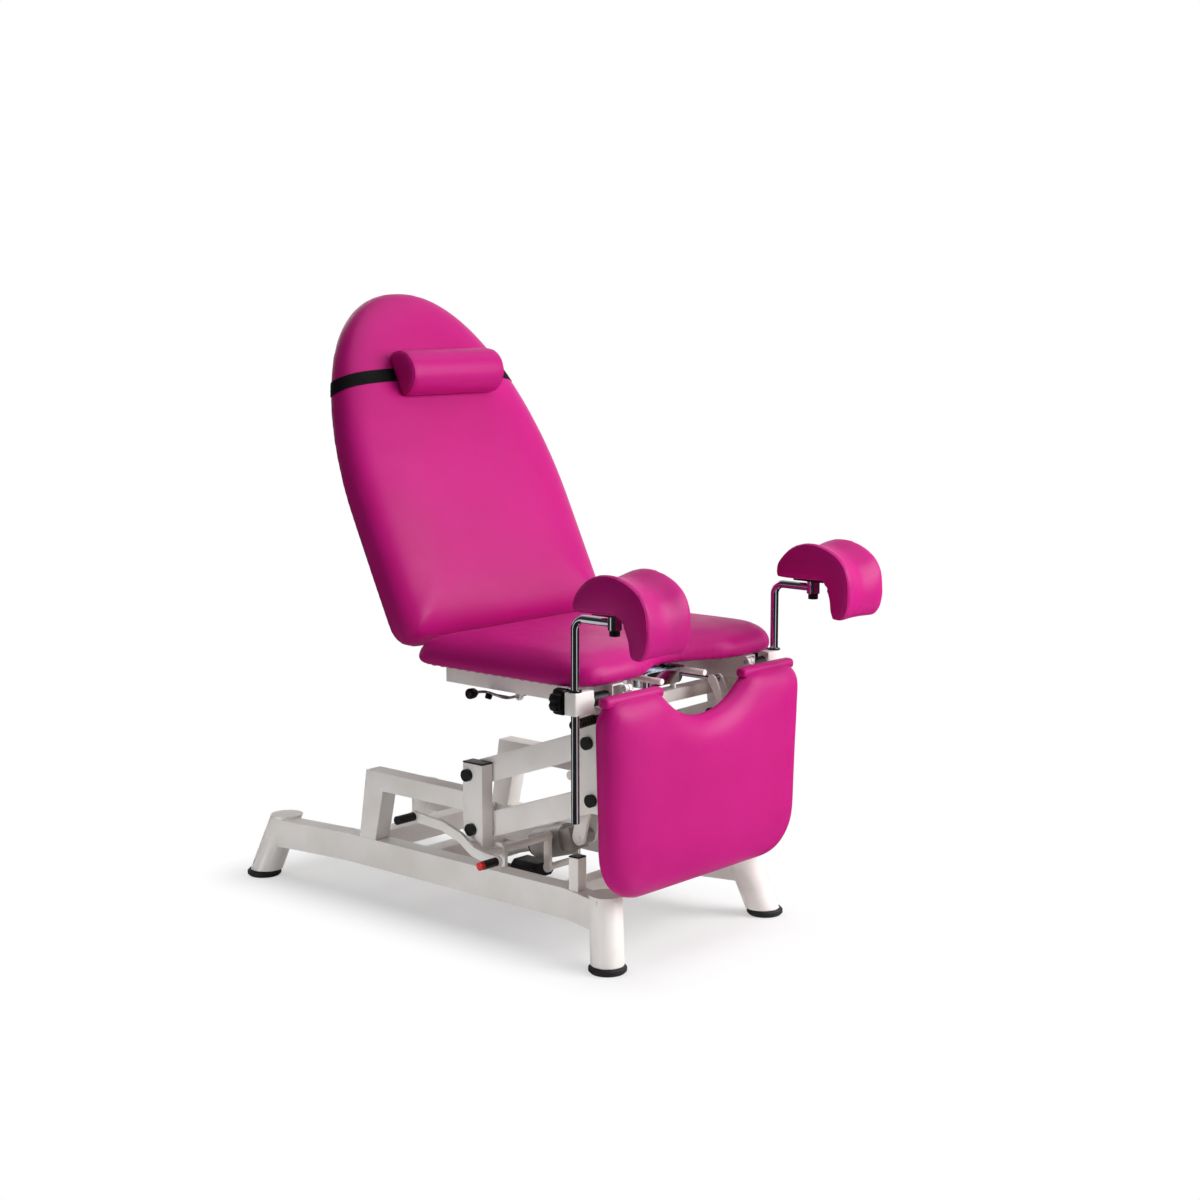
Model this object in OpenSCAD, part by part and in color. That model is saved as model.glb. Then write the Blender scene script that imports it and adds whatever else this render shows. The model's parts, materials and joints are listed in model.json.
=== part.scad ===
/* [Base frame] */
// Distance from the base's middle to each foot's centre, across
foot_reach_x = 247; // [230:1:265]
// Distance from the base's middle to each foot's centre, along
foot_reach_y = 502; // [480:1:530]
// Place of the base's middle along the chair
base_mid_y = 84; // [74:1:94]
// Diameter of a rubber foot
foot_d = 74; // [70:1:80]
// Height of a rubber foot
foot_h = 14; // [10:1:18]
// Diameter of a leg tube
leg_d = 65; // [58:1:68]
// Height of a leg's flat top
leg_top_z = 136; // [132:1:140]
// How far a leg leans in from its foot to its top, each way
leg_lean = 37; // [30:1:42]
// Width of a side rail tube
rail_w = 40; // [36:1:44]
// Height of a side rail tube
rail_h = 60; // [54:1:64]
// Height of a side rail's underside
rail_low_z = 70; // [64:1:76]
// Distance from the middle to a side rail's centre line
rail_x = 200; // [196:1:204]
// Sideways offset of a rail's ends, where it meets a leg
rail_flare = 28; // [20:1:32]
// Wall of every frame tube
tube_wall = 2.5; // [2:0.5:4]

/* [Lift] */
// Distance between the pivots of one lift arm
arm_length = 340; // [330:1:350]
// Angle of the arms above the floor with the seat at its lowest
arm_angle = 19.2; // [16:0.2:22]
// Height of a lift arm tube
arm_h = 50; // [44:1:54]
// Width of a lift arm or pivot post tube
arm_w = 30; // [26:1:32]
// Place of the lower fixed pivot along the chair
pivot_y = -34; // [-38:1:-30]
// Height of the lower fixed pivot
pivot_z = 204; // [200:1:208]
// Rise from the lower pivot to the upper one
pivot_rise = 110; // [108:1:114]
// Lean of the upper pivot behind the lower one
pivot_lean = 10; // [6:1:14]
// Diameter of a pivot bolt's shank
pivot_bolt_d = 12; // [10:1:14]
// Wall of a pivot bush
bush_wall = 3; // [2:0.5:4]
// Depth of a pivot post along the chair
post_d = 54; // [50:1:60]
// Height of a pivot post's top
post_top_z = 338; // [336:1:345]

/* [Pump] */
// Diameter of the pump cylinder
pump_d = 66; // [56:1:70]
// Diameter of the pump's ram
ram_d = 25; // [20:1:28]
// Height of the ram's pivot above the floor
ram_pivot_z = 98; // [94:1:102]
// Place of the ram's pivot along the chair
ram_pivot_y = 79; // [70:1:86]
// Height of the foot pedal shaft
pedal_z = 162; // [156:1:166]
// Place of the foot pedal shaft along the chair
pedal_y = -78; // [-84:1:-76]
// Diameter of the foot pedal shaft
pedal_shaft_d = 16; // [14:1:18]

/* [Upholstery] */
// Width of the seat, back and leg cushions
pad_w = 620; // [600:2:640]
// Depth of the seat cushion along the chair
seat_depth = 432; // [420:1:436]
// Height of the seat cushion's rim
seat_top_z = 600; // [596:1:604]
// Thickness of the seat cushion
seat_t = 55; // [50:1:58]
// Length of the back cushion
back_length = 765; // [740:1:790]
// Thickness of the back cushion
back_t = 70; // [60:1:74]
// Lean of the back from upright in the stored place
back_tilt = 25.9; // [22:0.1:30]
// Length of the hanging leg cushion
leg_pad_length = 390; // [380:1:392]
// Thickness of the leg cushion
leg_pad_t = 49; // [44:1:52]
// Rise of a cushion's middle above its rim
crown = 6; // [3:0.5:8]
// Length of the head pillow
pillow_length = 268; // [250:1:290]
// Height of the head pillow along the back
pillow_h = 106; // [96:1:116]
// Depth of the head pillow
pillow_t = 62; // [54:1:70]
// Width of the elastic pillow strap
strap_w = 29; // [25:1:32]

/* [Leg crutches] */
// Distance from the seat cushion's side in to a crutch rod
crutch_in = 4; // [2:1:10]
// Diameter of a crutch rod
rod_d = 16; // [14:0.5:17]
// Height of a crutch rod's foot
rod_low_z = 294; // [280:1:300]
// Height of a crutch rod's bent top
rod_top_z = 680; // [676:1:684]
// Reach of the bent top ahead of the rod
rod_reach = 96; // [90:1:100]
// Width of a knee pad
knee_w = 128; // [118:1:134]

/* [Hidden] */

// Roundness of turned parts
$fn = 48;
// Running clearance at a pin, each side
running = 0.05;
// Small gap between neighbouring moving faces
face_gap = 0.3;
// Wider gap that keeps moving parts apart
air_gap = 2;
// Overrun of a cut past the face it opens
over = 1;

paint = "#e6e3e0";
black = "#17171a";
steel = "#9aa0a6";
chrome = "#c9ced4";
vinyl = "#cb2a83";
grey = "#a9a6a1";
red = "#e01010";
plywood = "#c7a272";

// Fixed and moving pivots of the lift
upper_y = pivot_y + pivot_lean;
upper_z = pivot_z + pivot_rise;
arm_run = arm_length * cos(arm_angle);
arm_climb = arm_length * sin(arm_angle);
front_y = pivot_y - arm_run;
front_z = pivot_z + arm_climb;

// Posts, arms and bolts across the chair
post_out_x = rail_x + rail_w / 2;
post_in_x = post_out_x - arm_w;
arm_out_x = post_in_x - air_gap;
arm_in_x = arm_out_x - arm_w;
bush_d = pivot_bolt_d + 2 * running + 2 * bush_wall;
bolt_cap_d = 25;
bolt_cap_t = 9;
bolt_nut_d = 22;
bolt_nut_t = 8;
washer_d = 21;
post_back_y = pivot_y + post_d / 2 - air_gap;
post_front_y = post_back_y - post_d;
post_low_back = 7;
post_low_front = 32;

// Rails of the base
rail_top_z = rail_low_z + rail_h;
rail_bend_back = 257;
rail_bend_front = 369;
rail_bend_back_y = base_mid_y + rail_bend_back;
rail_bend_front_y = base_mid_y - rail_bend_front;
rail_end_reach = foot_reach_y - leg_lean * (rail_low_z + rail_h / 2) / leg_top_z;
foot_rim = 4;
leg_wall = 3;

// Bracket that carries a pivot post
bracket_h = 40;
bracket_rise = 149;
bracket_foot_back = 218;
bracket_foot_front = 169;
bracket_top_back = 194;
bracket_bend = 144;
bracket_top_z = rail_top_z + bracket_rise;
bracket_foot_back_y = base_mid_y + bracket_foot_back;
bracket_foot_front_y = base_mid_y + bracket_foot_front;
bracket_top_back_y = base_mid_y + bracket_top_back;
bracket_bend_y = base_mid_y + bracket_bend;

// Cross members of the base
base_tie_h = 40;
rear_tie_back = 225;
front_tie_ahead = 352;
rear_tie_y = base_mid_y + rear_tie_back;
front_tie_y = base_mid_y - front_tie_ahead;
rear_tie_w = 40;
pump_tie_gap = 6;
ram_eye_r = 16;
pump_tie_y = ram_pivot_y + ram_eye_r + pump_tie_gap + rear_tie_w / 2;
lug_t = 8;
stub_w = 24;
stub_h = 65;
stub_ahead = 392;
stub_out = 9;
stub_y = base_mid_y - stub_ahead;
stub_x = rail_x + stub_out;

// Box tube lying along one axis, open at its ends
module tube_x(length, depth, height, wall = tube_wall) {
    difference() {
        cube([length, depth, height], center = true);
        cube([length + 2 * over, depth - 2 * wall, height - 2 * wall], center = true);
    }
}

module tube_y(length, width, height, wall = tube_wall) {
    rotate([0, 0, 90]) tube_x(length, width, height, wall);
}

// Round bar between two places across the chair
module bar_x(x0, x1, d) {
    translate([x0, 0, 0]) rotate([0, 90, 0]) cylinder(d = d, h = x1 - x0);
}

// Flat profile of the side view, y to the right and z up, made solid from x0 to x1
module side_plate(x0, x1) {
    translate([x0, 0, 0]) rotate([90, 0, 90]) linear_extrude(x1 - x0) children();
}

module mirrored(side) {
    mirror([side < 0 ? 1 : 0, 0, 0]) children();
}

module both_sides() {
    children();
    mirror([1, 0, 0]) children();
}

// Outline of a side rail from above, half as wide as asked
function rail_outline(half, reach) = [
    [rail_x - half, rail_bend_front_y], [rail_x - half + rail_flare, base_mid_y - reach],
    [rail_x + half + rail_flare, base_mid_y - reach], [rail_x + half, rail_bend_front_y],
    [rail_x + half, rail_bend_back_y], [rail_x + half + rail_flare, base_mid_y + reach],
    [rail_x - half + rail_flare, base_mid_y + reach], [rail_x - half, rail_bend_back_y]];

// Leaning round leg, cut flat at its ends
module leg_rod(end, d, low, high) {
    tilt = atan2(leg_lean * sqrt(2), leg_top_z);
    intersection() {
        translate([foot_reach_x, base_mid_y + end * foot_reach_y, 0])
            rotate([0, tilt, end > 0 ? -135 : 135])
                translate([0, 0, -leg_d]) cylinder(d = d, h = leg_top_z + 2 * leg_d);
        translate([foot_reach_x - 2 * leg_d, base_mid_y + end * foot_reach_y - 2 * leg_d, low])
            cube([4 * leg_d, 4 * leg_d, high - low]);
    }
}

module pedal_bearing() {
    side_plate(rail_x - rail_w / 2, rail_x - rail_w / 2 + lug_t) difference() {
        union() {
            translate([pedal_y, pedal_z]) circle(d = 2 * pedal_shaft_d);
            translate([pedal_y - pedal_shaft_d, rail_top_z]) square([2 * pedal_shaft_d, pedal_z - rail_top_z]);
        }
        translate([pedal_y, pedal_z]) circle(d = pedal_shaft_d + 2 * running);
    }
}

module side_rail(side) {
    color(paint) mirrored(side) {
        difference() {
            union() {
                translate([0, 0, rail_low_z]) linear_extrude(rail_h)
                    polygon(rail_outline(rail_w / 2, rail_end_reach));
                for (end = [-1, 1]) leg_rod(end, leg_d, foot_h, leg_top_z);
            }
            translate([0, 0, rail_low_z + tube_wall]) linear_extrude(rail_h - 2 * tube_wall)
                polygon(rail_outline(rail_w / 2 - tube_wall, rail_end_reach - leg_wall));
            for (end = [-1, 1])
                leg_rod(end, leg_d - 2 * leg_wall, foot_h - over, leg_top_z - leg_wall);
        }
        pedal_bearing();
    }
}
module side_rail_right() { side_rail(-1); }
module side_rail_left() { side_rail(1); }

module base_cross_tubes() {
    span = 2 * (rail_x - rail_w / 2);
    color(paint) {
        for (y = [rear_tie_y, front_tie_y])
            translate([0, y, rail_top_z - base_tie_h / 2]) tube_x(span, rear_tie_w, base_tie_h);
        difference() {
            union() {
                translate([0, pump_tie_y, rail_top_z - base_tie_h / 2])
                    tube_x(span, rear_tie_w, base_tie_h);
                both_sides() side_plate(ram_w / 2 + face_gap, ram_w / 2 + face_gap + lug_t) {
                    translate([ram_pivot_y, ram_pivot_z]) circle(r = ram_eye_r);
                    translate([ram_pivot_y, ram_pivot_z - ram_eye_r])
                        square([pump_tie_y - rear_tie_w / 2 - ram_pivot_y, 2 * ram_eye_r]);
                }
            }
            translate([0, ram_pivot_y, ram_pivot_z])
                bar_x(-2 * ram_w, 2 * ram_w, pivot_bolt_d);
        }
        both_sides() translate([stub_x, stub_y, rail_top_z + stub_h / 2])
            rotate([0, 90, 0]) tube_x(stub_h, stub_w, stub_w);
    }
}

module rubber_feet() {
    color(black) for (sx = [-1, 1], sy = [-1, 1])
        translate([sx * foot_reach_x, base_mid_y + sy * foot_reach_y, 0]) rotate_extrude()
            polygon([[0, 0], [foot_d / 2 - foot_rim, 0], [foot_d / 2, foot_rim],
                [foot_d / 2, foot_h - foot_rim], [foot_d / 2 - foot_rim, foot_h], [0, foot_h]]);
}

module lift_bracket(side) {
    lean = (bracket_top_back_y - bracket_foot_back_y) / (bracket_top_z - rail_top_z);
    foot_in_y = bracket_foot_front_y + tube_wall;
    foot_out_y = bracket_foot_back_y - tube_wall;
    color(paint) mirrored(side) difference() {
        side_plate(rail_x - rail_w / 2, rail_x + rail_w / 2) polygon([
            [bracket_foot_back_y, rail_top_z], [bracket_top_back_y, bracket_top_z],
            [post_back_y, bracket_top_z], [post_back_y, bracket_top_z - bracket_h],
            [bracket_bend_y, bracket_top_z - bracket_h], [bracket_foot_front_y, rail_top_z]]);
        side_plate(rail_x - rail_w / 2 + tube_wall, rail_x + rail_w / 2 - tube_wall) {
            translate([post_back_y - over, bracket_top_z - bracket_h + tube_wall])
                square([bracket_bend_y - post_back_y, bracket_h - 2 * tube_wall]);
            polygon([[foot_in_y - over * lean, rail_top_z - over], [foot_out_y - over * lean, rail_top_z - over],
                [bracket_top_back_y - tube_wall, bracket_top_z - tube_wall],
                [bracket_bend_y + tube_wall, bracket_top_z - bracket_h]]);
        }
    }
}
module lift_bracket_right() { lift_bracket(-1); }
module lift_bracket_left() { lift_bracket(1); }

// Black cap, shank, washer and nut of one lift pivot, outward along +X
module pivot_bolt(outer_x) {
    bar_x(arm_in_x - face_gap - bolt_nut_t, outer_x, pivot_bolt_d);
    bar_x(arm_in_x - face_gap - bolt_nut_t, arm_in_x - face_gap, bolt_nut_d);
    bar_x(arm_out_x + face_gap, post_in_x, washer_d);
    bar_x(outer_x, outer_x + bolt_cap_t, bolt_cap_d);
}

module pivot_post(side) {
    color(paint) mirrored(side) difference() {
        side_plate(post_in_x, post_out_x) polygon([
            [post_back_y, pivot_z - post_low_back], [post_back_y, post_top_z],
            [post_front_y, post_top_z], [post_front_y, pivot_z - post_low_front]]);
        translate([post_in_x + tube_wall, post_front_y + tube_wall, pivot_z - 2 * post_low_front])
            cube([arm_w - 2 * tube_wall, post_d - 2 * tube_wall, post_top_z]);
        for (p = [[pivot_y, pivot_z], [upper_y, upper_z]])
            translate([0, p[0], p[1]]) bar_x(arm_in_x, post_out_x + over, pivot_bolt_d);
    }
}
module pivot_post_right() { pivot_post(-1); }
module pivot_post_left() { pivot_post(1); }

cap_t = 3;
module tube_end_caps() {
    color(black) both_sides() {
        translate([post_in_x, post_front_y, post_top_z]) cube([arm_w, post_d, cap_t]);
        translate([stub_x - stub_w / 2, stub_y - stub_w / 2, rail_top_z + stub_h])
            cube([stub_w, stub_w, cap_t]);
    }
}

module base_pivot_bolts() {
    color(black) {
        both_sides() for (p = [[pivot_y, pivot_z], [upper_y, upper_z]])
            translate([0, p[0], p[1]]) pivot_bolt(post_out_x);
        translate([0, ram_pivot_y, ram_pivot_z])
            bar_x(-ram_w / 2 - face_gap - lug_t - cap_t, ram_w / 2 + face_gap + lug_t + cap_t, pivot_bolt_d);
    }
}

// Pump: its lower pivot is on the base and its upper one hangs from the lower arms
ram_w = 26;
pump_eye_r = 16;
pump_pivot_back = 107;
pump_pivot_drop = 39;
pump_pivot_y = pivot_y - pump_pivot_back;
pump_pivot_z = pivot_z - pump_pivot_drop;
pump_length = norm([pump_pivot_y - ram_pivot_y, pump_pivot_z - ram_pivot_z]);
pump_tilt = atan2(pump_pivot_z - ram_pivot_z, ram_pivot_y - pump_pivot_y);
collar_start = 88;
collar_t = 10;
collar_d = 54;
pump_end = 28;
pump_block_share = 0.72;
ram_reach = 150;
ram_fit = 1.5;
reservoir = [60, 70, 30];
reservoir_y = -28;
reservoir_z = 58;
reservoir_chamfer = 9;
strap_t = 5;

module pump_reservoir() {
    w = reservoir[0] / 2;
    c = reservoir_chamfer;
    strap_half = ram_w / 2 - over;
    color(black) {
        translate([0, reservoir_y + reservoir[1], reservoir_z]) rotate([90, 0, 0])
            linear_extrude(reservoir[1]) polygon([[-w + c, 0], [w - c, 0], [w, c], [w, reservoir[2] - c],
                [w - c, reservoir[2]], [-w + c, reservoir[2]], [-w, reservoir[2] - c], [-w, c]]);
        translate([-strap_half, reservoir_y + reservoir[1], reservoir_z])
            cube([2 * strap_half, pump_tie_y - rear_tie_w / 2 - reservoir_y - reservoir[1], strap_t]);
        translate([-strap_half, pump_tie_y - rear_tie_w / 2 - strap_t, reservoir_z])
            cube([2 * strap_half, strap_t, rail_low_z + rail_h - base_tie_h + strap_t - reservoir_z]);
    }
}

// One lift arm, from its fixed pivot at y, z
module lift_arm(side, y, z) {
    end = arm_h / 2;
    color(paint) mirrored(side) translate([(arm_in_x + arm_out_x) / 2, y, z])
        rotate([-arm_angle, 0, 0]) difference() {
            translate([0, -arm_length / 2, 0]) tube_y(arm_length + 2 * end, arm_w, arm_h);
            for (p = [0, -arm_length])
                translate([0, p, 0]) bar_x(-arm_w, arm_w, bush_d);
        }
}
module lower_arm_right() { lift_arm(-1, pivot_y, pivot_z); }
module lower_arm_left() { lift_arm(1, pivot_y, pivot_z); }
module upper_arm_right() { lift_arm(-1, upper_y, upper_z); }
module upper_arm_left() { lift_arm(1, upper_y, upper_z); }

// Bushes of a pair of arms; the far ones of the upper pair run a little looser
module arm_bushes(y, z, far_play) {
    color(steel) both_sides() translate([0, y, z]) rotate([-arm_angle, 0, 0])
        for (p = [[0, running], [-arm_length, far_play]])
            translate([0, p[0], 0]) difference() {
                bar_x(arm_in_x, arm_out_x, bush_d);
                bar_x(arm_in_x - over, arm_out_x + over, pivot_bolt_d + 2 * p[1]);
            }
}
open_pivot_play = 0.3;
module lower_arm_bushes() { arm_bushes(pivot_y, pivot_z, running); }
module upper_arm_bushes() { arm_bushes(upper_y, upper_z, open_pivot_play); }

// Cross tube between a pair of arms
arm_tie_h = 36;
lower_tie_at = 130;
upper_tie_at = 215;
module arm_tie(y, z, at) {
    translate([0, y, z]) rotate([-arm_angle, 0, 0]) translate([0, -at, 0])
        tube_x(2 * arm_in_x, arm_tie_h, arm_tie_h);
}
module upper_arm_tie() { color(paint) arm_tie(upper_y, upper_z, upper_tie_at); }
module lower_arm_tie() {
    tie_y = pivot_y - lower_tie_at * cos(arm_angle);
    tie_low = pivot_z + lower_tie_at * sin(arm_angle) - arm_tie_h / 2;
    lug_in = ram_w / 2 + face_gap;
    color(paint) {
        arm_tie(pivot_y, pivot_z, lower_tie_at);
        difference() {
            both_sides() side_plate(lug_in, lug_in + lug_t) {
                translate([pump_pivot_y, pump_pivot_z]) circle(r = pump_eye_r);
                polygon([[pump_pivot_y - pump_eye_r, pump_pivot_z], [pump_pivot_y + pump_eye_r, pump_pivot_z],
                    [tie_y + arm_tie_h / 2, tie_low], [tie_y - arm_tie_h / 2, tie_low + arm_tie_h / 4]]);
            }
            translate([0, pump_pivot_y, pump_pivot_z]) bar_x(-ram_w * 2, ram_w * 2, pivot_bolt_d);
        }
    }
    color(steel) translate([0, pump_pivot_y, pump_pivot_z])
        bar_x(-lug_in - lug_t - cap_t, lug_in + lug_t + cap_t, pivot_bolt_d);
}

// Frame of the pump: origin at the ram's pivot, the cylinder ahead along +X
module pump_frame() {
    translate([0, ram_pivot_y, ram_pivot_z]) rotate([0, 0, -90]) rotate([0, -pump_tilt, 0]) children();
}
module pump_rod(from, to, d) {
    translate([from, 0, 0]) rotate([0, 90, 0]) cylinder(d = d, h = to - from);
}
module pump_eye(at, radius) {
    translate([at, ram_w / 2, 0]) rotate([90, 0, 0]) cylinder(r = radius, h = ram_w);
}
module pump_pin_hole(at) {
    translate([at, ram_w, 0]) rotate([90, 0, 0]) cylinder(d = pivot_bolt_d + 2 * running, h = 2 * ram_w);
}

module pump_cylinder() {
    barrel_end = pump_length - pump_eye_r - pump_end - air_gap;
    block = pump_d * pump_block_share;
    color(grey) pump_frame() difference() {
        union() {
            pump_rod(collar_start + collar_t, barrel_end, pump_d);
            translate([barrel_end, -block / 2, -block / 2])
                cube([pump_end, block, block]);
            translate([barrel_end + pump_end, -ram_w / 2, -pump_eye_r])
                cube([pump_eye_r + air_gap, ram_w, 2 * pump_eye_r]);
            pump_eye(pump_length, pump_eye_r);
        }
        pump_rod(collar_start, ram_reach + ram_d, ram_d + 2 * ram_fit);
        pump_pin_hole(pump_length);
    }
}

module pump_collar() {
    color(black) pump_frame() difference() {
        pump_rod(collar_start, collar_start + collar_t, collar_d);
        pump_rod(collar_start - over, collar_start + collar_t + over, ram_d + 2 * ram_fit);
    }
}

module pump_ram() {
    color(paint) pump_frame() difference() {
        union() {
            pump_eye(0, ram_eye_r);
            pump_rod(0, ram_reach, ram_d);
        }
        pump_pin_hole(0);
    }
}

// Foot pedals: a bar at each side rocks on one shaft, with a grip at each end
pedal_bar_gap = 6;
pedal_bar_x = post_out_x + bolt_cap_t + pedal_bar_gap;
pedal_bar_t = 8;
pedal_bar_d = 20;
pedal_path = [[190, 48], [107, 42], [57, 27], [20, 4], [-16, -2], [-44, -4]];
pedal_points = [for (p = pedal_path) [pedal_y + p[0], pedal_z + p[1]]];
yoke_gap = 7;
yoke_x = pump_d / 2 + yoke_gap;
yoke_drop = 66;
yoke_bar_d = 14;
grip_length = 46;
grip_d = 18;
grip_core_d = 10;
red_t = 9;

// Outline of a flat bar along a path
function strip(p, half) = let (last = len(p) - 1,
    v = [for (i = [0:last]) p[min(i + 1, last)] - p[max(i - 1, 0)]],
    s = [for (q = v) half * [-q[1], q[0]] / norm(q)])
    concat([for (i = [0:last]) p[i] + s[i]], [for (i = [last:-1:0]) p[i] - s[i]]);

module pedal_rocker() {
    color(paint) {
        both_sides() translate([0, pedal_y, pedal_z]) bar_x(yoke_x + over, pedal_bar_x + over, pedal_shaft_d);
        both_sides() side_plate(yoke_x, yoke_x + pedal_bar_t) {
            translate([pedal_y, pedal_z]) circle(d = pedal_bar_d);
            translate([pedal_y - pedal_shaft_d / 2, pedal_z - yoke_drop]) square([pedal_shaft_d, yoke_drop]);
            translate([pedal_y, pedal_z - yoke_drop]) circle(d = pedal_bar_d);
        }
        translate([0, pedal_y, pedal_z - yoke_drop]) bar_x(-yoke_x - over, yoke_x + over, yoke_bar_d);
        both_sides() side_plate(pedal_bar_x, pedal_bar_x + pedal_bar_t) {
            polygon(strip(pedal_points, pedal_bar_d / 2));
            for (p = [pedal_points[0], pedal_points[5]]) translate(p) circle(d = pedal_bar_d + 2 * over);
        }
        both_sides() for (p = [pedal_points[0], pedal_points[5]])
            translate([pedal_bar_x + pedal_bar_t, p[0], p[1]])
                bar_x(-over, grip_length - red_t - over, grip_core_d);
    }
}

module pedal_grips() {
    grip_x = pedal_bar_x + pedal_bar_t;
    color(black) both_sides() difference() {
        union() {
            translate([grip_x, pedal_points[0][0], pedal_points[0][1]]) bar_x(0, grip_length, grip_d);
            translate([grip_x, pedal_points[5][0], pedal_points[5][1]])
                bar_x(0, grip_length - red_t, grip_d);
        }
        for (p = [pedal_points[0], pedal_points[5]])
            translate([grip_x, p[0], p[1]]) bar_x(-over, grip_length - red_t - over, grip_core_d);
    }
}

module pedal_red_tips() {
    color(red) both_sides()
        translate([pedal_bar_x + pedal_bar_t + grip_length - red_t, pedal_points[5][0], pedal_points[5][1]])
            bar_x(0, red_t, grip_d - over);
}

// Lifting carriage: uprights, seat frame and what hangs from it
seat_low_z = seat_top_z - seat_t;
seat_rail_h = 48;
seat_nose = 55.9;
seat_front_y = front_y - seat_nose;
seat_back_y = seat_front_y + seat_depth;
seat_rail_behind = 14;
seat_rail_short = 5;
seat_rail_back_y = seat_back_y + seat_rail_behind;
seat_rail_front_y = seat_front_y + seat_rail_short;
upright_foot = 26;
upright_foot_behind = 27;
upright_foot_ahead = 31;
upright_top_behind = 55;
upright_top_ahead = 7;
upright_bow = [24, 90];
upright_low_z = front_z - upright_foot;
upright_top_z = seat_low_z - seat_rail_h;
upright_back_low_y = front_y + upright_foot_behind;
upright_front_low_y = front_y - upright_foot_ahead;
upright_back_top_y = front_y + upright_top_behind;
upright_front_top_y = front_y - upright_top_ahead;
upright_bow_y = front_y - upright_bow[0];
upright_bow_z = front_z + upright_bow[1];
back_tie_h = 16;
mid_tie_back = 15;
mid_tie_y = (seat_front_y + seat_back_y) / 2 + mid_tie_back;
front_frame_tie = [30, 24];
front_frame_tie_in = 93;
front_frame_tie_y = seat_front_y + front_frame_tie_in;
front_frame_tie_z = 488;

module upright(side) {
    color(paint) mirrored(side) difference() {
        side_plate(post_in_x, post_out_x) polygon([
            [upright_back_low_y, upright_low_z], [upright_back_top_y, upright_top_z],
            [upright_front_top_y, upright_top_z], [upright_bow_y, upright_bow_z],
            [upright_front_low_y, upright_low_z]]);
        side_plate(post_in_x + tube_wall, post_out_x - tube_wall) polygon([
            [upright_back_low_y - tube_wall, upright_low_z - over],
            [upright_back_top_y - tube_wall, upright_top_z + over],
            [upright_front_top_y + tube_wall, upright_top_z + over],
            [upright_bow_y + tube_wall, upright_bow_z], [upright_front_low_y + tube_wall, upright_low_z - over]]);
        for (p = [[0, 0], [pivot_lean, pivot_rise]])
            translate([0, front_y + p[0], front_z + p[1]]) bar_x(arm_in_x, post_out_x + over, pivot_bolt_d);
    }
}
module upright_right() { upright(-1); }
module upright_left() { upright(1); }

module carriage_pivot_bolts() {
    color(black) both_sides() for (p = [[0, 0], [pivot_lean, pivot_rise]])
        translate([0, front_y + p[0], front_z + p[1]]) pivot_bolt(post_out_x);
}

module seat_rails() {
    length = seat_rail_back_y - seat_rail_front_y;
    middle = [(post_in_x + post_out_x) / 2, (seat_rail_back_y + seat_rail_front_y) / 2,
        seat_low_z - seat_rail_h / 2];
    color(paint) {
        both_sides() translate(middle) tube_y(length, arm_w, seat_rail_h);
        both_sides() leg_hinge_lugs();
        lever_lug();
    }
}

// Hinge axes of the back and the leg panel
back_hinge_behind = 40;
back_hinge_rise = 16;
leg_hinge_ahead = 3;
leg_hinge_drop = 9;
back_hinge_y = seat_back_y + back_hinge_behind;
back_hinge_z = seat_low_z + back_hinge_rise;
leg_hinge_y = seat_front_y - leg_hinge_ahead;
leg_hinge_z = seat_low_z - leg_hinge_drop;
hinge_pin_d = 12;
leg_pin_d = 8;
back_lug_x = 148;
leg_lug_x = 158;
leg_lug_r = 7;
back_lug_r = 14;
hinge_plate_t = 8;
back_spring_x = -70;
leg_spring_x = 118;
spring_lug_r = 10;
spring_pin_d = 8;
spring_lug_gap = 8;
back_spring_drop = 38;
leg_spring_drop = 44.8;
back_spring_z = seat_low_z - back_spring_drop;
leg_spring_z = seat_low_z - leg_spring_drop;
guide_x = 66;
guide_d = 12;
guide_drop = 17;
guide_short = 12;
guide_z = seat_low_z - guide_drop;
guide_front_y = seat_front_y + guide_short;

// Two plates at each side of a spring's eye, hung from z = top
module spring_lugs(x, y, z, top) {
    for (side = [-1, 1]) translate([x + side * (spring_lug_gap + lug_t / 4), 0, 0])
        side_plate(-lug_t / 4, lug_t / 4) {
            translate([y, z]) circle(r = spring_lug_r);
            translate([y - spring_lug_r, z]) square([2 * spring_lug_r, top - z]);
        }
    translate([x, y, z]) bar_x(-spring_lug_gap - lug_t / 2, spring_lug_gap + lug_t / 2, spring_pin_d);
}

module seat_cross_tubes() {
    span = 2 * post_in_x;
    color(paint) {
        for (y = [seat_rail_back_y - front_frame_tie[0] / 2, mid_tie_y])
            translate([0, y, seat_low_z - back_tie_h / 2]) tube_x(span, front_frame_tie[0], back_tie_h);
        translate([0, front_frame_tie_y, front_frame_tie_z - front_frame_tie[1] / 2])
            tube_x(span, front_frame_tie[0], front_frame_tie[1]);
        spring_lugs(back_spring_x, mid_tie_y, back_spring_z, seat_low_z - back_tie_h);
        spring_lugs(leg_spring_x, mid_tie_y, leg_spring_z, seat_low_z - back_tie_h);
        both_sides() difference() {
            side_plate(back_lug_x, back_lug_x + hinge_plate_t) hull() {
                translate([back_hinge_y, back_hinge_z]) circle(r = back_lug_r, $fn = 32);
                translate([seat_rail_back_y - tube_wall, seat_low_z - back_tie_h])
                    square([tube_wall, back_tie_h - tube_wall]);
            }
            translate([0, back_hinge_y, back_hinge_z]) bar_x(0, rail_x, hinge_pin_d);
        }
    }
}

// Points along an arc, both ends included
function arc(c, r, a0, a1, n) = [for (i = [0:n]) let (a = a0 + (a1 - a0) * i / n) c + r * [cos(a), sin(a)]];

// Counter-clockwise outline moved inwards by d
function inset(p, d) = let (n = len(p)) [for (i = [0:n - 1])
    let (v = p[(i + 1) % n] - p[(i + n - 1) % n]) p[i] + d * [-v[1], v[0]] / norm(v)];

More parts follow.
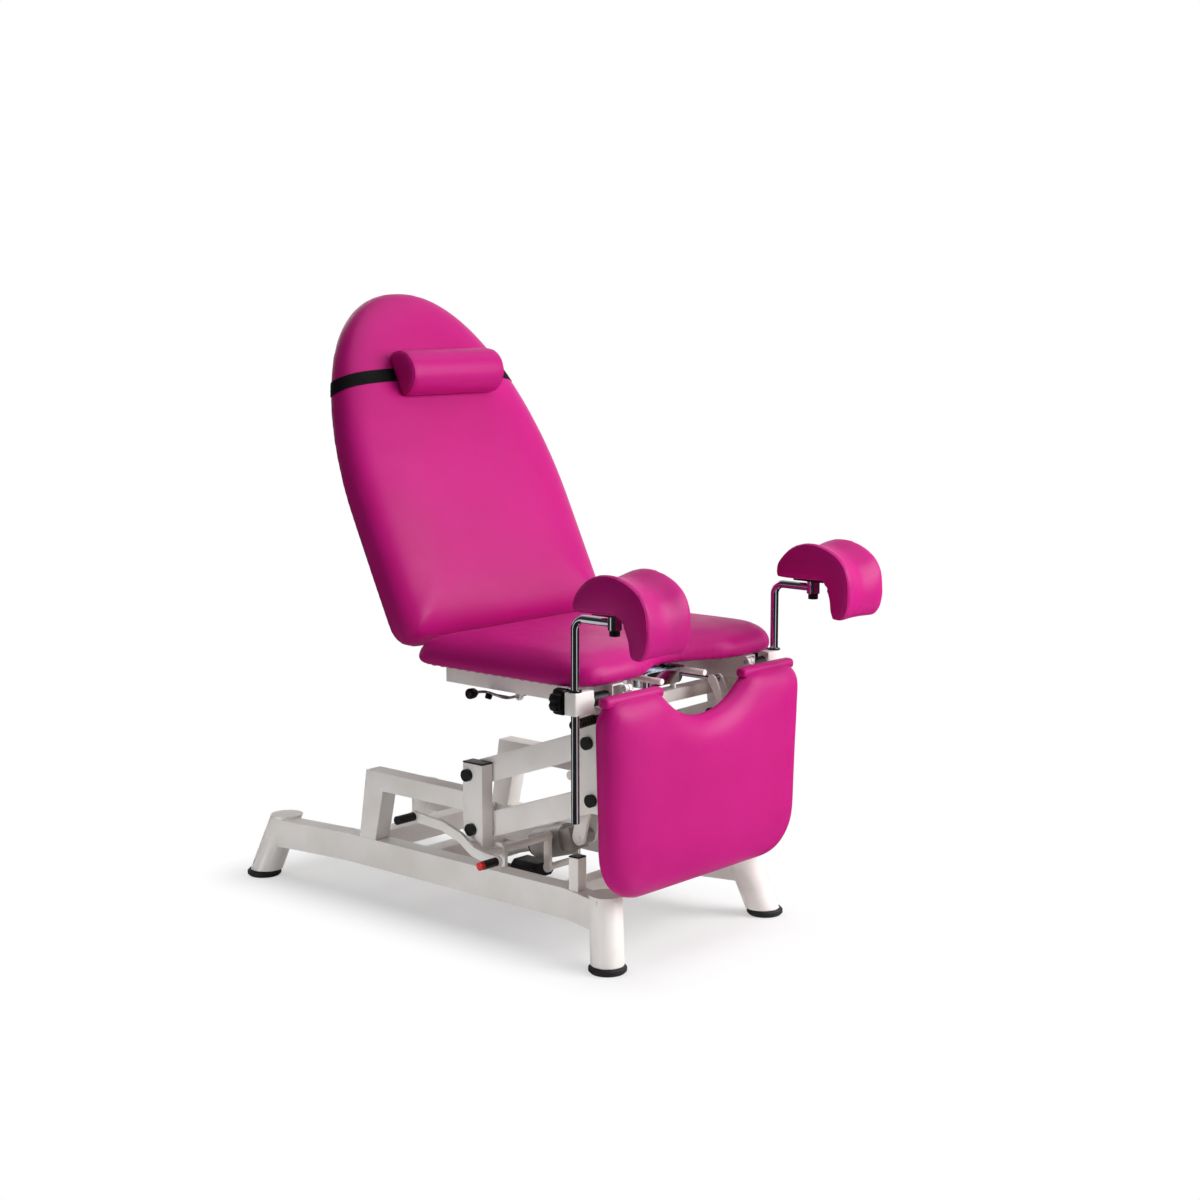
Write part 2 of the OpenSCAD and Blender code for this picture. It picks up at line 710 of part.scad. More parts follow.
function scaled_about(p, c, k) = [for (q = p) c + k * (q - c)];
function at_height(p, z) = [for (q = p) [q[0], q[1], z]];

// Solid through a stack of outlines that have as many points each
module skin(rings) {
    n = len(rings[0]);
    m = len(rings);
    polyhedron(
        points = [for (r = rings, q = r) q],
        faces = concat(
            [[for (i = [0:n - 1]) i]],
            [for (k = [0:m - 2], i = [0:n - 1], half = [0, 1]) let (j = (i + 1) % n, a = k * n, b = a + n)
                half == 0 ? [a + i, b + j, a + j] : [a + i, b + i, b + j]],
            [[for (i = [n - 1:-1:0]) (m - 1) * n + i]]));
}

// Upholstered form: drawn-in foot, bulged side, rolled edge and a crown about c
edge_roll = 20;
side_shares = [[0, 0.5], [0.16, 0.12], [0.45, 0], [0.72, 0.12], [0.9, 0.45], [1, 1]];
crown_shares = [[0.82, 0.6], [0.55, 0.9], [0.25, 1]];
module cushion(outline, t, c, rise = crown, roll = edge_roll) {
    rim = inset(outline, roll);
    pocket = inset(outline, board_inset);
    skin(concat(
        [at_height(pocket, board_t), at_height(pocket, 0)],
        [for (s = side_shares) at_height(inset(outline, roll * s[1]), t * s[0])],
        [for (s = crown_shares) at_height(scaled_about(rim, c, s[0]), t + rise * s[1])]));
}

board_t = 12;
board_inset = 26;
seat_corner_r = 70;
seat_tail = 18;
seat_back_r = 42;
cut_half = 155;
cut_depth = 60;
cut_steps = 14;
half_w = pad_w / 2;
seat_end_y = seat_back_y + seat_tail;
seat_outline = concat(
    arc([-half_w + seat_corner_r, seat_front_y + seat_corner_r], seat_corner_r, 180, 270, 7),
    [for (i = [0:cut_steps]) let (share = 2 * i / cut_steps - 1)
        [share * cut_half, seat_front_y + cut_depth * (1 + cos(180 * share)) / 2]],
    arc([half_w - seat_corner_r, seat_front_y + seat_corner_r], seat_corner_r, 270, 360, 7),
    arc([half_w - seat_back_r, seat_end_y - seat_back_r], seat_back_r, 0, 90, 5),
    arc([-half_w + seat_back_r, seat_end_y - seat_back_r], seat_back_r, 90, 180, 5));
seat_middle = [0, seat_back_y - seat_depth / 2];

module seat_board() {
    color(plywood) translate([0, 0, seat_low_z]) linear_extrude(board_t)
        polygon(inset(seat_outline, board_inset));
}

module seat_cushion() {
    color(vinyl) translate([0, 0, seat_low_z]) cushion(seat_outline, seat_t, seat_middle);
}

module hinge_pins() {
    color(steel) both_sides() {
        translate([0, back_hinge_y, back_hinge_z])
            bar_x(back_lug_x - cap_t, back_lug_x + 2 * hinge_plate_t + air_gap + cap_t, hinge_pin_d);
        translate([0, leg_hinge_y, leg_hinge_z])
            bar_x(leg_ear_x - cap_t, post_in_x + hinge_plate_t + cap_t, leg_pin_d);
    }
}
leg_ear_x = post_in_x - air_gap - hinge_plate_t;

// Lugs at the front of the seat rails that carry the leg panel's hinge
module leg_hinge_lugs() {
    side_plate(post_in_x, post_in_x + hinge_plate_t) difference() {
        union() {
            translate([leg_hinge_y, leg_hinge_z]) circle(r = leg_lug_r);
            translate([leg_hinge_y, leg_hinge_z - leg_lug_r])
                square([seat_rail_front_y - leg_hinge_y, 2 * leg_lug_r]);
        }
        translate([leg_hinge_y, leg_hinge_z]) circle(d = leg_pin_d);
    }
}

// Guide rods of the basin, with a front stay down to the frame's front tube
guide_back_y = mid_tie_y - front_frame_tie[0] / 2;
stay_t = 6;
module basin_guides() {
    color(paint) both_sides() {
        translate([guide_x, guide_front_y, guide_z]) rotate([-90, 0, 0])
            cylinder(d = guide_d, h = guide_back_y - guide_front_y);
        translate([guide_x - stay_t / 2, front_frame_tie_y - guide_d / 2, front_frame_tie_z])
            cube([stay_t, guide_d, guide_z - front_frame_tie_z]);
    }
}

basin_length = 140;
basin_in = 201;
basin_back_y = seat_front_y + basin_in;
basin_half = guide_x - guide_d / 2 - air_gap;
basin_rise = 18;
basin_low_z = front_frame_tie_z + basin_rise;
basin_wall = 1.5;
basin_r = 14;
rim_z = guide_z + guide_d / 2 + face_gap;
rim_t = 1.5;
module basin() {
    color(chrome) translate([0, basin_back_y - basin_length, 0]) {
        difference() {
            union() {
                rounded_block(basin_half, basin_length, basin_r, basin_low_z, rim_z);
                rounded_block(guide_x + guide_d / 2, basin_length, basin_r, rim_z, rim_z + rim_t);
            }
            translate([0, basin_wall, 0]) rounded_block(basin_half - basin_wall,
                basin_length - 2 * basin_wall, basin_r - basin_wall, basin_low_z + basin_wall, rim_z + rim_t + over);
        }
    }
}

// Block with round upright corners, from y = 0 to its length
module rounded_block(half, length, r, low, high) {
    translate([0, 0, low]) linear_extrude(high - low) polygon(concat(
        arc([-half + r, r], r, 180, 270, 5), arc([half - r, r], r, 270, 360, 5),
        arc([half - r, length - r], r, 0, 90, 5), arc([-half + r, length - r], r, 90, 180, 5)));
}

// Gas springs: a fixed tube on the carriage and a rod that rides on the crank
spring_wall = 2;
back_spring_d = 30;
back_spring_short = 41;
back_spring_front = seat_back_y - back_spring_short;
back_rod_d = 10;
back_crank = [25, -55];
back_rod_overlap = 40;
back_rod_in = back_hinge_y + back_crank[0] - back_spring_front + back_rod_overlap;
leg_spring_d = 25;
leg_spring_short = 121;
leg_spring_front = seat_front_y + leg_spring_short;
leg_rod_d = 8;
leg_crank = [29.7, -29.7];
leg_rod_end_y = mid_tie_y - spring_lug_r - spring_wall - 2 * air_gap;
leg_rod_in = leg_rod_end_y - leg_hinge_y - leg_crank[0];
eye_t = 12;

module spring_tube(x, y0, y1, z, d) {
    translate([x, y0, z]) rotate([-90, 0, 0]) difference() {
        cylinder(d = d, h = y1 - y0);
        cylinder_bore(d - 2 * spring_wall, y1 - y0);
    }
}
module cylinder_bore(d, h) {
    translate([0, 0, -over]) cylinder(d = d, h = h + 2 * over);
}
module spring_eye(x, y, z, r) {
    difference() {
        translate([x, y, z]) bar_x(-eye_t / 2, eye_t / 2, 2 * r);
        translate([x, y, z]) bar_x(-eye_t, eye_t, spring_pin_d + 2 * running);
    }
}

module back_spring_tube() {
    start = mid_tie_y + spring_lug_r + air_gap;
    color(black) {
        spring_tube(back_spring_x, start + spring_wall, back_spring_front, back_spring_z, back_spring_d);
        translate([back_spring_x, start, back_spring_z]) rotate([-90, 0, 0])
            cylinder(d = back_spring_d, h = spring_wall);
        difference() {
            translate([back_spring_x - eye_t / 2, mid_tie_y, back_spring_z - spring_pin_d])
                cube([eye_t, start - mid_tie_y, 2 * spring_pin_d]);
            translate([back_spring_x, mid_tie_y, back_spring_z]) bar_x(-eye_t, eye_t, 2 * spring_pin_d);
        }
        spring_eye(back_spring_x, mid_tie_y, back_spring_z, spring_pin_d);
    }
}

module leg_spring_tube() {
    start = mid_tie_y - spring_lug_r - air_gap;
    color(grey) {
        spring_tube(leg_spring_x, leg_spring_front, start - spring_wall, leg_spring_z, leg_spring_d);
        translate([leg_spring_x, start - spring_wall, leg_spring_z]) rotate([-90, 0, 0])
            cylinder(d = leg_spring_d, h = spring_wall);
        difference() {
            translate([leg_spring_x - eye_t / 2, start, leg_spring_z - spring_pin_d])
                cube([eye_t, mid_tie_y - start, 2 * spring_pin_d]);
            translate([leg_spring_x, mid_tie_y, leg_spring_z]) bar_x(-eye_t, eye_t, 2 * spring_pin_d);
        }
        spring_eye(leg_spring_x, mid_tie_y, leg_spring_z, spring_pin_d);
    }
}

module spring_rod(x, y, z, d, reach) {
    difference() {
        union() {
            translate([x, y, z]) bar_x(-eye_t / 2, eye_t / 2, 2 * spring_pin_d);
            translate([x, y, z]) rotate([reach > 0 ? 90 : -90, 0, 0]) cylinder(d = d, h = abs(reach));
        }
        translate([x, y, z]) bar_x(-eye_t, eye_t, spring_pin_d + 2 * running);
    }
}
module back_spring_rod() {
    color(chrome) spring_rod(back_spring_x, back_hinge_y + back_crank[0], back_hinge_z + back_crank[1],
        back_rod_d, back_rod_in);
}
module leg_spring_rod() {
    color(chrome) spring_rod(leg_spring_x, leg_hinge_y + leg_crank[0], leg_hinge_z + leg_crank[1],
        leg_rod_d, -leg_rod_in);
}

// Back: all of it is laid out flat behind its hinge, with y along the back and z out of it
module back_frame_of() {
    translate([0, back_hinge_y, back_hinge_z]) rotate([90 - back_tilt, 0, 0]) children();
}
back_low = 15;
back_pad_z = -31.5;
back_narrow = 6;
back_steps = 26;
back_middle_share = 0.42;
back_half = half_w - back_narrow;
back_corner_r = 40;
back_round = 500;
egg_share = 0.94;
back_round_y = back_low + back_length - back_round;
back_outline = concat(
    arc([-back_half + back_corner_r, back_low + back_corner_r], back_corner_r, 180, 270, 5),
    arc([back_half - back_corner_r, back_low + back_corner_r], back_corner_r, 270, 360, 5),
    [for (i = [0:back_steps]) let (a = 180 * i / back_steps, c = cos(a))
        [sign(c) * back_half * pow(abs(c), egg_share), back_round_y + back_round * sin(a)]]);
back_middle = [0, back_low + back_length * back_middle_share];
back_tube = 30;
back_tube_x = 176;
back_tube_start = 30;
back_tube_end = 520;

module back_board() {
    color(plywood) back_frame_of() translate([0, 0, back_pad_z]) linear_extrude(board_t)
        polygon(inset(back_outline, board_inset));
}
module back_cushion() {
    color(vinyl) back_frame_of() translate([0, 0, back_pad_z]) cushion(back_outline, back_t, back_middle);
}
module back_frame() {
    ear_x = back_lug_x + hinge_plate_t + air_gap;
    crank = [back_crank[0] * sin(back_tilt) + back_crank[1] * cos(back_tilt),
        back_crank[1] * sin(back_tilt) - back_crank[0] * cos(back_tilt)];
    tube_z = back_pad_z - back_tube / 2;
    color(paint) back_frame_of() {
        both_sides() {
            translate([back_tube_x, (back_tube_start + back_tube_end) / 2, tube_z])
                tube_y(back_tube_end - back_tube_start, back_tube, back_tube);
            side_plate(ear_x, ear_x + hinge_plate_t) difference() {
                union() {
                    circle(r = back_lug_r);
                    polygon([[-back_lug_r, 0], [back_lug_r - face_gap, 0], [back_lug_r - face_gap, back_pad_z],
                        [back_tube_start + back_tube, back_pad_z], [back_tube_start + back_tube, tube_z - back_tube / 2],
                        [back_tube_start, tube_z - back_tube / 2]]);
                }
                circle(d = hinge_pin_d + 2 * running);
            }
        }
        for (y = [back_tube_start + back_tube / 2, back_tube_end - back_tube / 2])
            translate([0, y, tube_z]) tube_x(2 * back_tube_x - back_tube, back_tube, back_tube);
        for (side = [-1, 1]) translate([back_spring_x + side * (spring_lug_gap + lug_t / 4), 0, 0])
            side_plate(-lug_t / 4, lug_t / 4) {
                translate(crank) circle(r = spring_lug_r);
                polygon([crank + [0, spring_lug_r], crank - [0, spring_lug_r],
                    [back_tube_start, tube_z - back_tube / 2], [back_tube_start, tube_z + back_tube / 2]]);
            }
        translate([back_spring_x, crank[0], crank[1]])
            bar_x(-spring_lug_gap - lug_t / 2, spring_lug_gap + lug_t / 2, spring_pin_d);
    }
}

// Head pillow: a half-round roll held on the back by an elastic strap
pillow_x = 16;
pillow_y = 575;
pillow_round_share = 0.8;
pillow_shares = [[0, 0.9], [0.03, 0.35], [0.08, 0], [0.5, -0.12], [0.92, 0], [0.97, 0.35], [1, 0.9]];
pillow_roll = 14;
strap_t_thin = 1.5;
pad_face_z = back_pad_z + back_t + crown + face_gap;
module head_pillow() {
    profile = [for (i = [0:14]) let (a = 180 * i / 14)
        [pillow_h / 2 * cos(a), pillow_t * pow(sin(a), pillow_round_share)]];
    color(vinyl) back_frame_of()
        translate([pillow_x - pillow_length / 2, pillow_y, pad_face_z + strap_t_thin + face_gap])
            rotate([90, 0, 90]) skin([for (s = pillow_shares)
                at_height([for (p = profile) [p[0] * (1 - pillow_roll * s[1] / (pillow_h / 2)),
                    p[1] * (1 - pillow_roll * s[1] / pillow_t)]], pillow_length * s[0])]);
}

strap_y = 578;
module pillow_strap() {
    low = (strap_y - strap_w / 2 - back_round_y) / back_round;
    half = back_half * pow(sqrt(1 - low * low), egg_share) + face_gap;
    under = back_pad_z - face_gap;
    color(black) back_frame_of() translate([0, strap_y + strap_w / 2, 0]) rotate([90, 0, 0])
        linear_extrude(strap_w) difference() {
            polygon(strap_loop(half + strap_t_thin, under - strap_t_thin, pad_face_z + strap_t_thin));
            polygon(strap_loop(half, under, pad_face_z));
        }
}

// Section of the loop that the strap makes round the back, with cut corners
strap_back_cut = 8;
strap_front_cut = 20;
function strap_loop(half, low, high) = let (b = strap_back_cut, f = strap_front_cut)
    [[-half + b, low], [half - b, low], [half, low + b], [half, high - f],
    [half - f, high], [-half + f, high], [-half, high - f], [-half, low + b]];

// Leg panel: hangs at rest, with its hinge at the top of its back face
leg_pad_drop = 8;
leg_pad_ahead = 13;
leg_pad_top_z = leg_hinge_z - leg_pad_drop;
leg_pad_back_y = leg_hinge_y - leg_pad_ahead;
leg_top_r = 48;
leg_narrow = 10;
leg_half = half_w - leg_narrow;
leg_low_r = 100;
notch_lip_x = 150;
notch_lip_r = 30;
notch_r = 170;
notch_depth = 66;
notch_taper = 8;
leg_low_z = leg_pad_top_z - leg_pad_length;
notch_c = [0, leg_pad_top_z - notch_depth + notch_r];
lip_c = [notch_lip_x, leg_pad_top_z - notch_lip_r];
lip_gap = norm(lip_c - notch_c);
lip_turn = asin((notch_lip_r + notch_r) / lip_gap) - atan2(notch_c[1] - lip_c[1], notch_lip_x);
leg_outline = concat(
    arc([-leg_half + leg_low_r + notch_taper, leg_low_z + leg_low_r], leg_low_r, 180, 270, 7),
    arc([leg_half - leg_low_r - notch_taper, leg_low_z + leg_low_r], leg_low_r, 270, 360, 7),
    arc([leg_half - leg_top_r, leg_pad_top_z - leg_top_r], leg_top_r, 0, 90, 6),
    arc(lip_c, notch_lip_r, 90, 90 + lip_turn, 3),
    arc(notch_c, notch_r, 270 + lip_turn, 270 - lip_turn, 10),
    arc([-lip_c[0], lip_c[1]], notch_lip_r, 90 - lip_turn, 90, 3),
    arc([-leg_half + leg_top_r, leg_pad_top_z - leg_top_r], leg_top_r, 90, 180, 6));
leg_middle = [0, (leg_low_z + leg_pad_top_z) / 2 - leg_low_r / 4];
leg_strip_x = 150;
leg_strip_w = 40;
leg_strip_t = 8;
band_x = [128, 284];
band_r = 7;
band_t = 24;
band_rise = 2;
band_h = 26;

// Places the leg panel's flat outline upright, thickness towards the front
module leg_plane(y) {
    translate([0, y, 0]) rotate([90, 0, 0]) children();
}

module leg_board() {
    color(plywood) leg_plane(leg_pad_back_y) linear_extrude(board_t) polygon(inset(leg_outline, board_inset));
}
module leg_cushion() {
    color(vinyl) {
        leg_plane(leg_pad_back_y) cushion(leg_outline, leg_pad_t, leg_middle);
        both_sides() leg_band();
    }
}

// Padded band along the top of the leg panel, on both sides of its notch
module leg_band() {
    hull() for (back = [face_gap + band_r, band_t - band_r], down = [band_r, band_h - band_r])
        translate([0, leg_pad_back_y - back, leg_hinge_z + band_rise - down])
            bar_x(band_x[0], band_x[1], 2 * band_r);
}
module leg_frame() {
    top = leg_pad_top_z - notch_depth - board_inset - leg_strip_w / 2;
    strip_low_z = leg_low_z + leg_low_r;
    crank_y = leg_hinge_y + leg_crank[0];
    crank_z = leg_hinge_z + leg_crank[1];
    color(paint) {
        both_sides() translate([leg_strip_x - leg_strip_w / 2, leg_pad_back_y, strip_low_z])
            cube([leg_strip_w, leg_strip_t, top - strip_low_z]);
        translate([-leg_ear_x - hinge_plate_t, leg_pad_back_y, top])
            cube([2 * (leg_ear_x + hinge_plate_t), leg_strip_t, leg_strip_w / 2]);
        both_sides() side_plate(leg_ear_x, leg_ear_x + hinge_plate_t) difference() {
            union() {
                translate([leg_hinge_y, leg_hinge_z]) circle(r = leg_lug_r);
                polygon([[leg_hinge_y + leg_lug_r, leg_hinge_z], [leg_pad_back_y, leg_hinge_z - leg_lug_r / 2],
                    [leg_pad_back_y, top], [leg_pad_back_y + leg_strip_t, top]]);
            }
            translate([leg_hinge_y, leg_hinge_z]) circle(d = leg_pin_d + 2 * running);
        }
        for (side = [-1, 1]) translate([leg_spring_x + side * (spring_lug_gap + lug_t / 4), 0, 0])
            side_plate(-lug_t / 4, lug_t / 4) {
                translate([crank_y, crank_z]) circle(r = spring_lug_r);
                polygon([[crank_y + spring_lug_r, crank_z], [crank_y - spring_lug_r, crank_z + spring_lug_r / 2],
                    [leg_pad_back_y, top + leg_strip_w / 2], [leg_pad_back_y, top]]);
            }
        translate([leg_spring_x, crank_y, crank_z])
            bar_x(-spring_lug_gap - lug_t / 2, spring_lug_gap + lug_t / 2, spring_pin_d);
    }
}

// Crutches: a clamp block on the seat frame, a turning bush, the bent rod and its knee pad
rod_behind = 21;
crutch_x = pad_w / 2 - crutch_in;
holder_out = 15;
holder_in_share = 0.44;
holder_in = holder_in_share * (crutch_x - post_out_x);
holder_drop = 46;
holder_h = 43;
holder_ahead = 14;
rod_y = seat_front_y + rod_behind;
holder_low_z = seat_low_z - holder_drop;
holder_front_y = rod_y - holder_ahead;
holder_d = 28;
holder_arm_d = 26;
crutch_bush_d = 22;
bend_r = 22;
knob_d = 48;
knob_t = 24;
knob_lobes = 6;
knob_lobe_d = 17;
knob_boss_share = 0.4;
lobe_share = 0.2;
screw_d = 10;
eye_h = 24;
eye_d = 26;
pad_pin_d = 12;
nut_h = 11;
nut_d = 20;
knee_plate = [66, 74, 4];
knee_plate_rise = 20;
knee_plate_z = rod_top_z + knee_plate_rise;

module crutch_holder(side) {
    color(paint) mirrored(side) difference() {
        union() {
            translate([crutch_x - holder_in, holder_front_y, holder_low_z])
                cube([holder_in + holder_out, holder_d, holder_h]);
            translate([0, holder_front_y + holder_d / 2, holder_low_z + holder_h / 2])
                bar_x(post_out_x, crutch_x - holder_in + over, holder_arm_d);
        }
        translate([crutch_x, rod_y, holder_low_z - over])
            cylinder(d = crutch_bush_d + 2 * running, h = holder_h + 2 * over);
        translate([crutch_x, rod_y, holder_low_z + holder_h / 2]) rotate([-90, 0, 0])
            cylinder(d = screw_d + 2 * running, h = holder_d + over);
    }
}
module crutch_holder_right() { crutch_holder(-1); }
module crutch_holder_left() { crutch_holder(1); }

module crutch_bush(side) {
    flange = 3;
    color(black) mirrored(side) translate([crutch_x, rod_y, holder_low_z]) difference() {
        union() {
            cylinder(d = crutch_bush_d, h = holder_h + flange);
            translate([0, 0, holder_h + running]) cylinder(d = crutch_bush_d + flange, h = flange - running);
        }
        translate([0, 0, -over]) cylinder(d = rod_d + 2 * running, h = holder_h + flange + 2 * over);
    }
}
module crutch_bush_right() { crutch_bush(-1); }
module crutch_bush_left() { crutch_bush(1); }

module crutch_rod(side) {
    pin_y = rod_y - rod_reach;
    color(chrome) mirrored(side) {
        translate([crutch_x, rod_y, rod_low_z]) cylinder(d = rod_d, h = rod_top_z - bend_r - rod_low_z);
        translate([crutch_x, rod_y - bend_r, rod_top_z - bend_r]) rotate([90, 0, 90])
            rotate_extrude(angle = 90) translate([bend_r, 0]) circle(d = rod_d);
        difference() {
            union() {
                translate([crutch_x, pin_y, rod_top_z]) rotate([-90, 0, 0])
                    cylinder(d = rod_d, h = rod_reach - bend_r);
                translate([crutch_x, pin_y, rod_top_z - eye_h / 2]) cylinder(d = eye_d, h = eye_h);
            }
            translate([crutch_x, pin_y, rod_top_z - eye_h])
                cylinder(d = pad_pin_d + 2 * running, h = 2 * eye_h);
        }
    }
}
module crutch_rod_right() { crutch_rod(-1); }
module crutch_rod_left() { crutch_rod(1); }

// Steel plate under a knee pad, with its pivot pin and nut
module knee_bracket(side) {
    pin_y = rod_y - rod_reach;
    color(black) mirrored(side) translate([crutch_x, pin_y, 0]) {
        translate([-knee_plate[0] / 2, -knee_plate[1] + eye_d, knee_plate_z - knee_plate[2]])
            cube([knee_plate[0], knee_plate[1], knee_plate[2]]);
        translate([0, 0, rod_top_z - eye_h / 2 - face_gap - nut_h])
            cylinder(d = pad_pin_d, h = knee_plate_z - rod_top_z + eye_h / 2 + nut_h);
        translate([0, 0, rod_top_z - eye_h / 2 - face_gap - nut_h]) cylinder(d = nut_d, h = nut_h);
        translate([0, 0, rod_top_z + eye_h / 2 + face_gap])
            cylinder(d = nut_d, h = knee_plate_z - rod_top_z - eye_h / 2 - face_gap);
    }
}
module knee_bracket_right() { knee_bracket(-1); }
module knee_bracket_left() { knee_bracket(1); }

// Side view of a knee pad as shares of its reach and height, from its rear tip over its top
knee_reach = 178;
knee_height = 147;
knee_behind = 50;
knee_drop = 71;
knee_back_y = rod_y - rod_reach + knee_behind;
knee_low_z = knee_plate_z - knee_drop;
knee_profile_shares = [[0, 0.54], [0.02, 0.69], [0.12, 0.84], [0.26, 0.95], [0.43, 1], [0.61, 0.98],
    [0.78, 0.9], [0.91, 0.77], [0.98, 0.59], [1, 0.38], [0.99, 0.18], [0.94, 0.05], [0.87, 0],
    [0.77, 0.01], [0.73, 0.11], [0.71, 0.28], [0.69, 0.41], [0.63, 0.483], [0.53, 0.483],
    [0.08, 0.483], [0.02, 0.49]];
knee_outer = 10;
knee_front = 13;
knee_trough = 11;
knee_ends = [[0, 9], [0.03, 3], [0.09, 0], [0.3, 0], [0.5, 0], [0.7, 0], [0.91, 0], [0.97, 3], [1, 9]];
module knee_pad(side) {
    profile = [for (s = knee_profile_shares) [knee_back_y - s[0] * knee_reach, knee_low_z + s[1] * knee_height]];
    color(vinyl) mirrored(side) translate([crutch_x - knee_w / 2, 0, 0]) rotate([90, 0, 90])
        skin([for (s = knee_ends) let (ring = inset(profile, s[1]),
                hollow = inset(profile, s[1] + knee_trough * pow(sin(180 * s[0]), 2)))
            at_height([for (i = [0:len(ring) - 1]) i > 0 && i < knee_outer ? hollow[i]
                : i <= knee_front ? ring[i] : profile[i]], knee_w * s[0])]);
}
module knee_pad_right() { knee_pad(-1); }
module knee_pad_left() { knee_pad(1); }

module star_knob(side) {
    color(black) mirrored(side)
        translate([crutch_x, holder_front_y + holder_d, holder_low_z + holder_h / 2]) rotate([-90, 0, 0]) {
            translate([0, 0, face_gap]) cylinder(d = knob_d * knob_boss_share, h = knob_t / 2);
            translate([0, 0, knob_t / 3]) difference() {
                cylinder(d = knob_d, h = knob_t);
                for (i = [0:knob_lobes - 1]) rotate(360 * i / knob_lobes)
                    translate([knob_d / 2 + knob_lobe_d * lobe_share, 0, -over]) cylinder(d = knob_lobe_d, h = knob_t + 2 * over);
            }
            screw = holder_front_y + holder_d - rod_y - crutch_bush_d / 2 - face_gap;
            translate([0, 0, -screw]) cylinder(d = screw_d, h = screw + knob_t / 2);
        }
}
module star_knob_right() { star_knob(-1); }
module star_knob_left() { star_knob(1); }

// Wire lever with a round grip that frees the back's gas spring
lever_back = 30;
lever_y = mid_tie_y + lever_back;
lever_drop = 10;
lever_z = seat_low_z - seat_rail_h - lever_drop;
lever_wire_d = 6;
lever_out_x = 250;
lever_in_x = 60;
lever_arm = 60;
lever_rise = 9;
lever_knob_d = 20;
lever_knob_length = 34;
lever_lug_x = post_in_x + hinge_plate_t;
lever_lug_r = 7;
module back_release_lever() {
    color(steel) mirror([1, 0, 0]) translate([0, lever_y, lever_z]) {
        bar_x(lever_in_x, lever_out_x, lever_wire_d);
        translate([lever_out_x, 0, 0]) rotate([lever_rise - 90, 0, 0]) cylinder(d = lever_wire_d, h = lever_arm);
        translate([lever_out_x, 0, 0]) sphere(d = lever_wire_d);
    }
    color(black) mirror([1, 0, 0])
        translate([0, lever_y + lever_arm * cos(lever_rise), lever_z + lever_arm * sin(lever_rise)])
        bar_x(lever_out_x - lever_wire_d / 2, lever_out_x + lever_knob_length, lever_knob_d);
}

// Eyes under the right seat rail that the release lever turns in
module lever_lug() {
    mirror([1, 0, 0]) side_plate(lever_lug_x, lever_lug_x + hinge_plate_t) difference() {
        union() {
            translate([lever_y, lever_z]) circle(r = lever_lug_r);
            translate([lever_y - lever_lug_r, lever_z]) square([2 * lever_lug_r, seat_low_z - seat_rail_h - lever_z]);
        }
        translate([lever_y, lever_z]) circle(d = lever_wire_d + 2 * running);
    }
}

side_rail_right();
side_rail_left();
base_cross_tubes();
rubber_feet();
lift_bracket_right();
lift_bracket_left();
pivot_post_right();
pivot_post_left();
tube_end_caps();
base_pivot_bolts();
pump_reservoir();
lower_arm_right();
lower_arm_left();
lower_arm_tie();
lower_arm_bushes();
upper_arm_right();
upper_arm_left();
upper_arm_tie();
upper_arm_bushes();
pump_cylinder();
pump_collar();
pump_ram();
pedal_rocker();
pedal_grips();
pedal_red_tips();
upright_right();
upright_left();
carriage_pivot_bolts();
seat_rails();
seat_cross_tubes();
hinge_pins();
seat_board();
seat_cushion();
basin_guides();
basin();
back_spring_tube();
back_spring_rod();
leg_spring_tube();
leg_spring_rod();
back_frame();
back_board();
back_cushion();
head_pillow();
pillow_strap();
leg_frame();
leg_board();
leg_cushion();
crutch_holder_right();
crutch_holder_left();
crutch_bush_right();
crutch_bush_left();
crutch_rod_right();
crutch_rod_left();
knee_pad_right();
knee_pad_left();
knee_bracket_right();
knee_bracket_left();
star_knob_right();
star_knob_left();
back_release_lever();
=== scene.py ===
"""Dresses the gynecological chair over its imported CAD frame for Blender 4.5."""
import sys
import json
import logging
import math
from dataclasses import dataclass
from enum import Enum
from typing import Callable, Iterable, Optional, Sequence

import bmesh
import bpy
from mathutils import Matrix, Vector
from mathutils.bvhtree import BVHTree

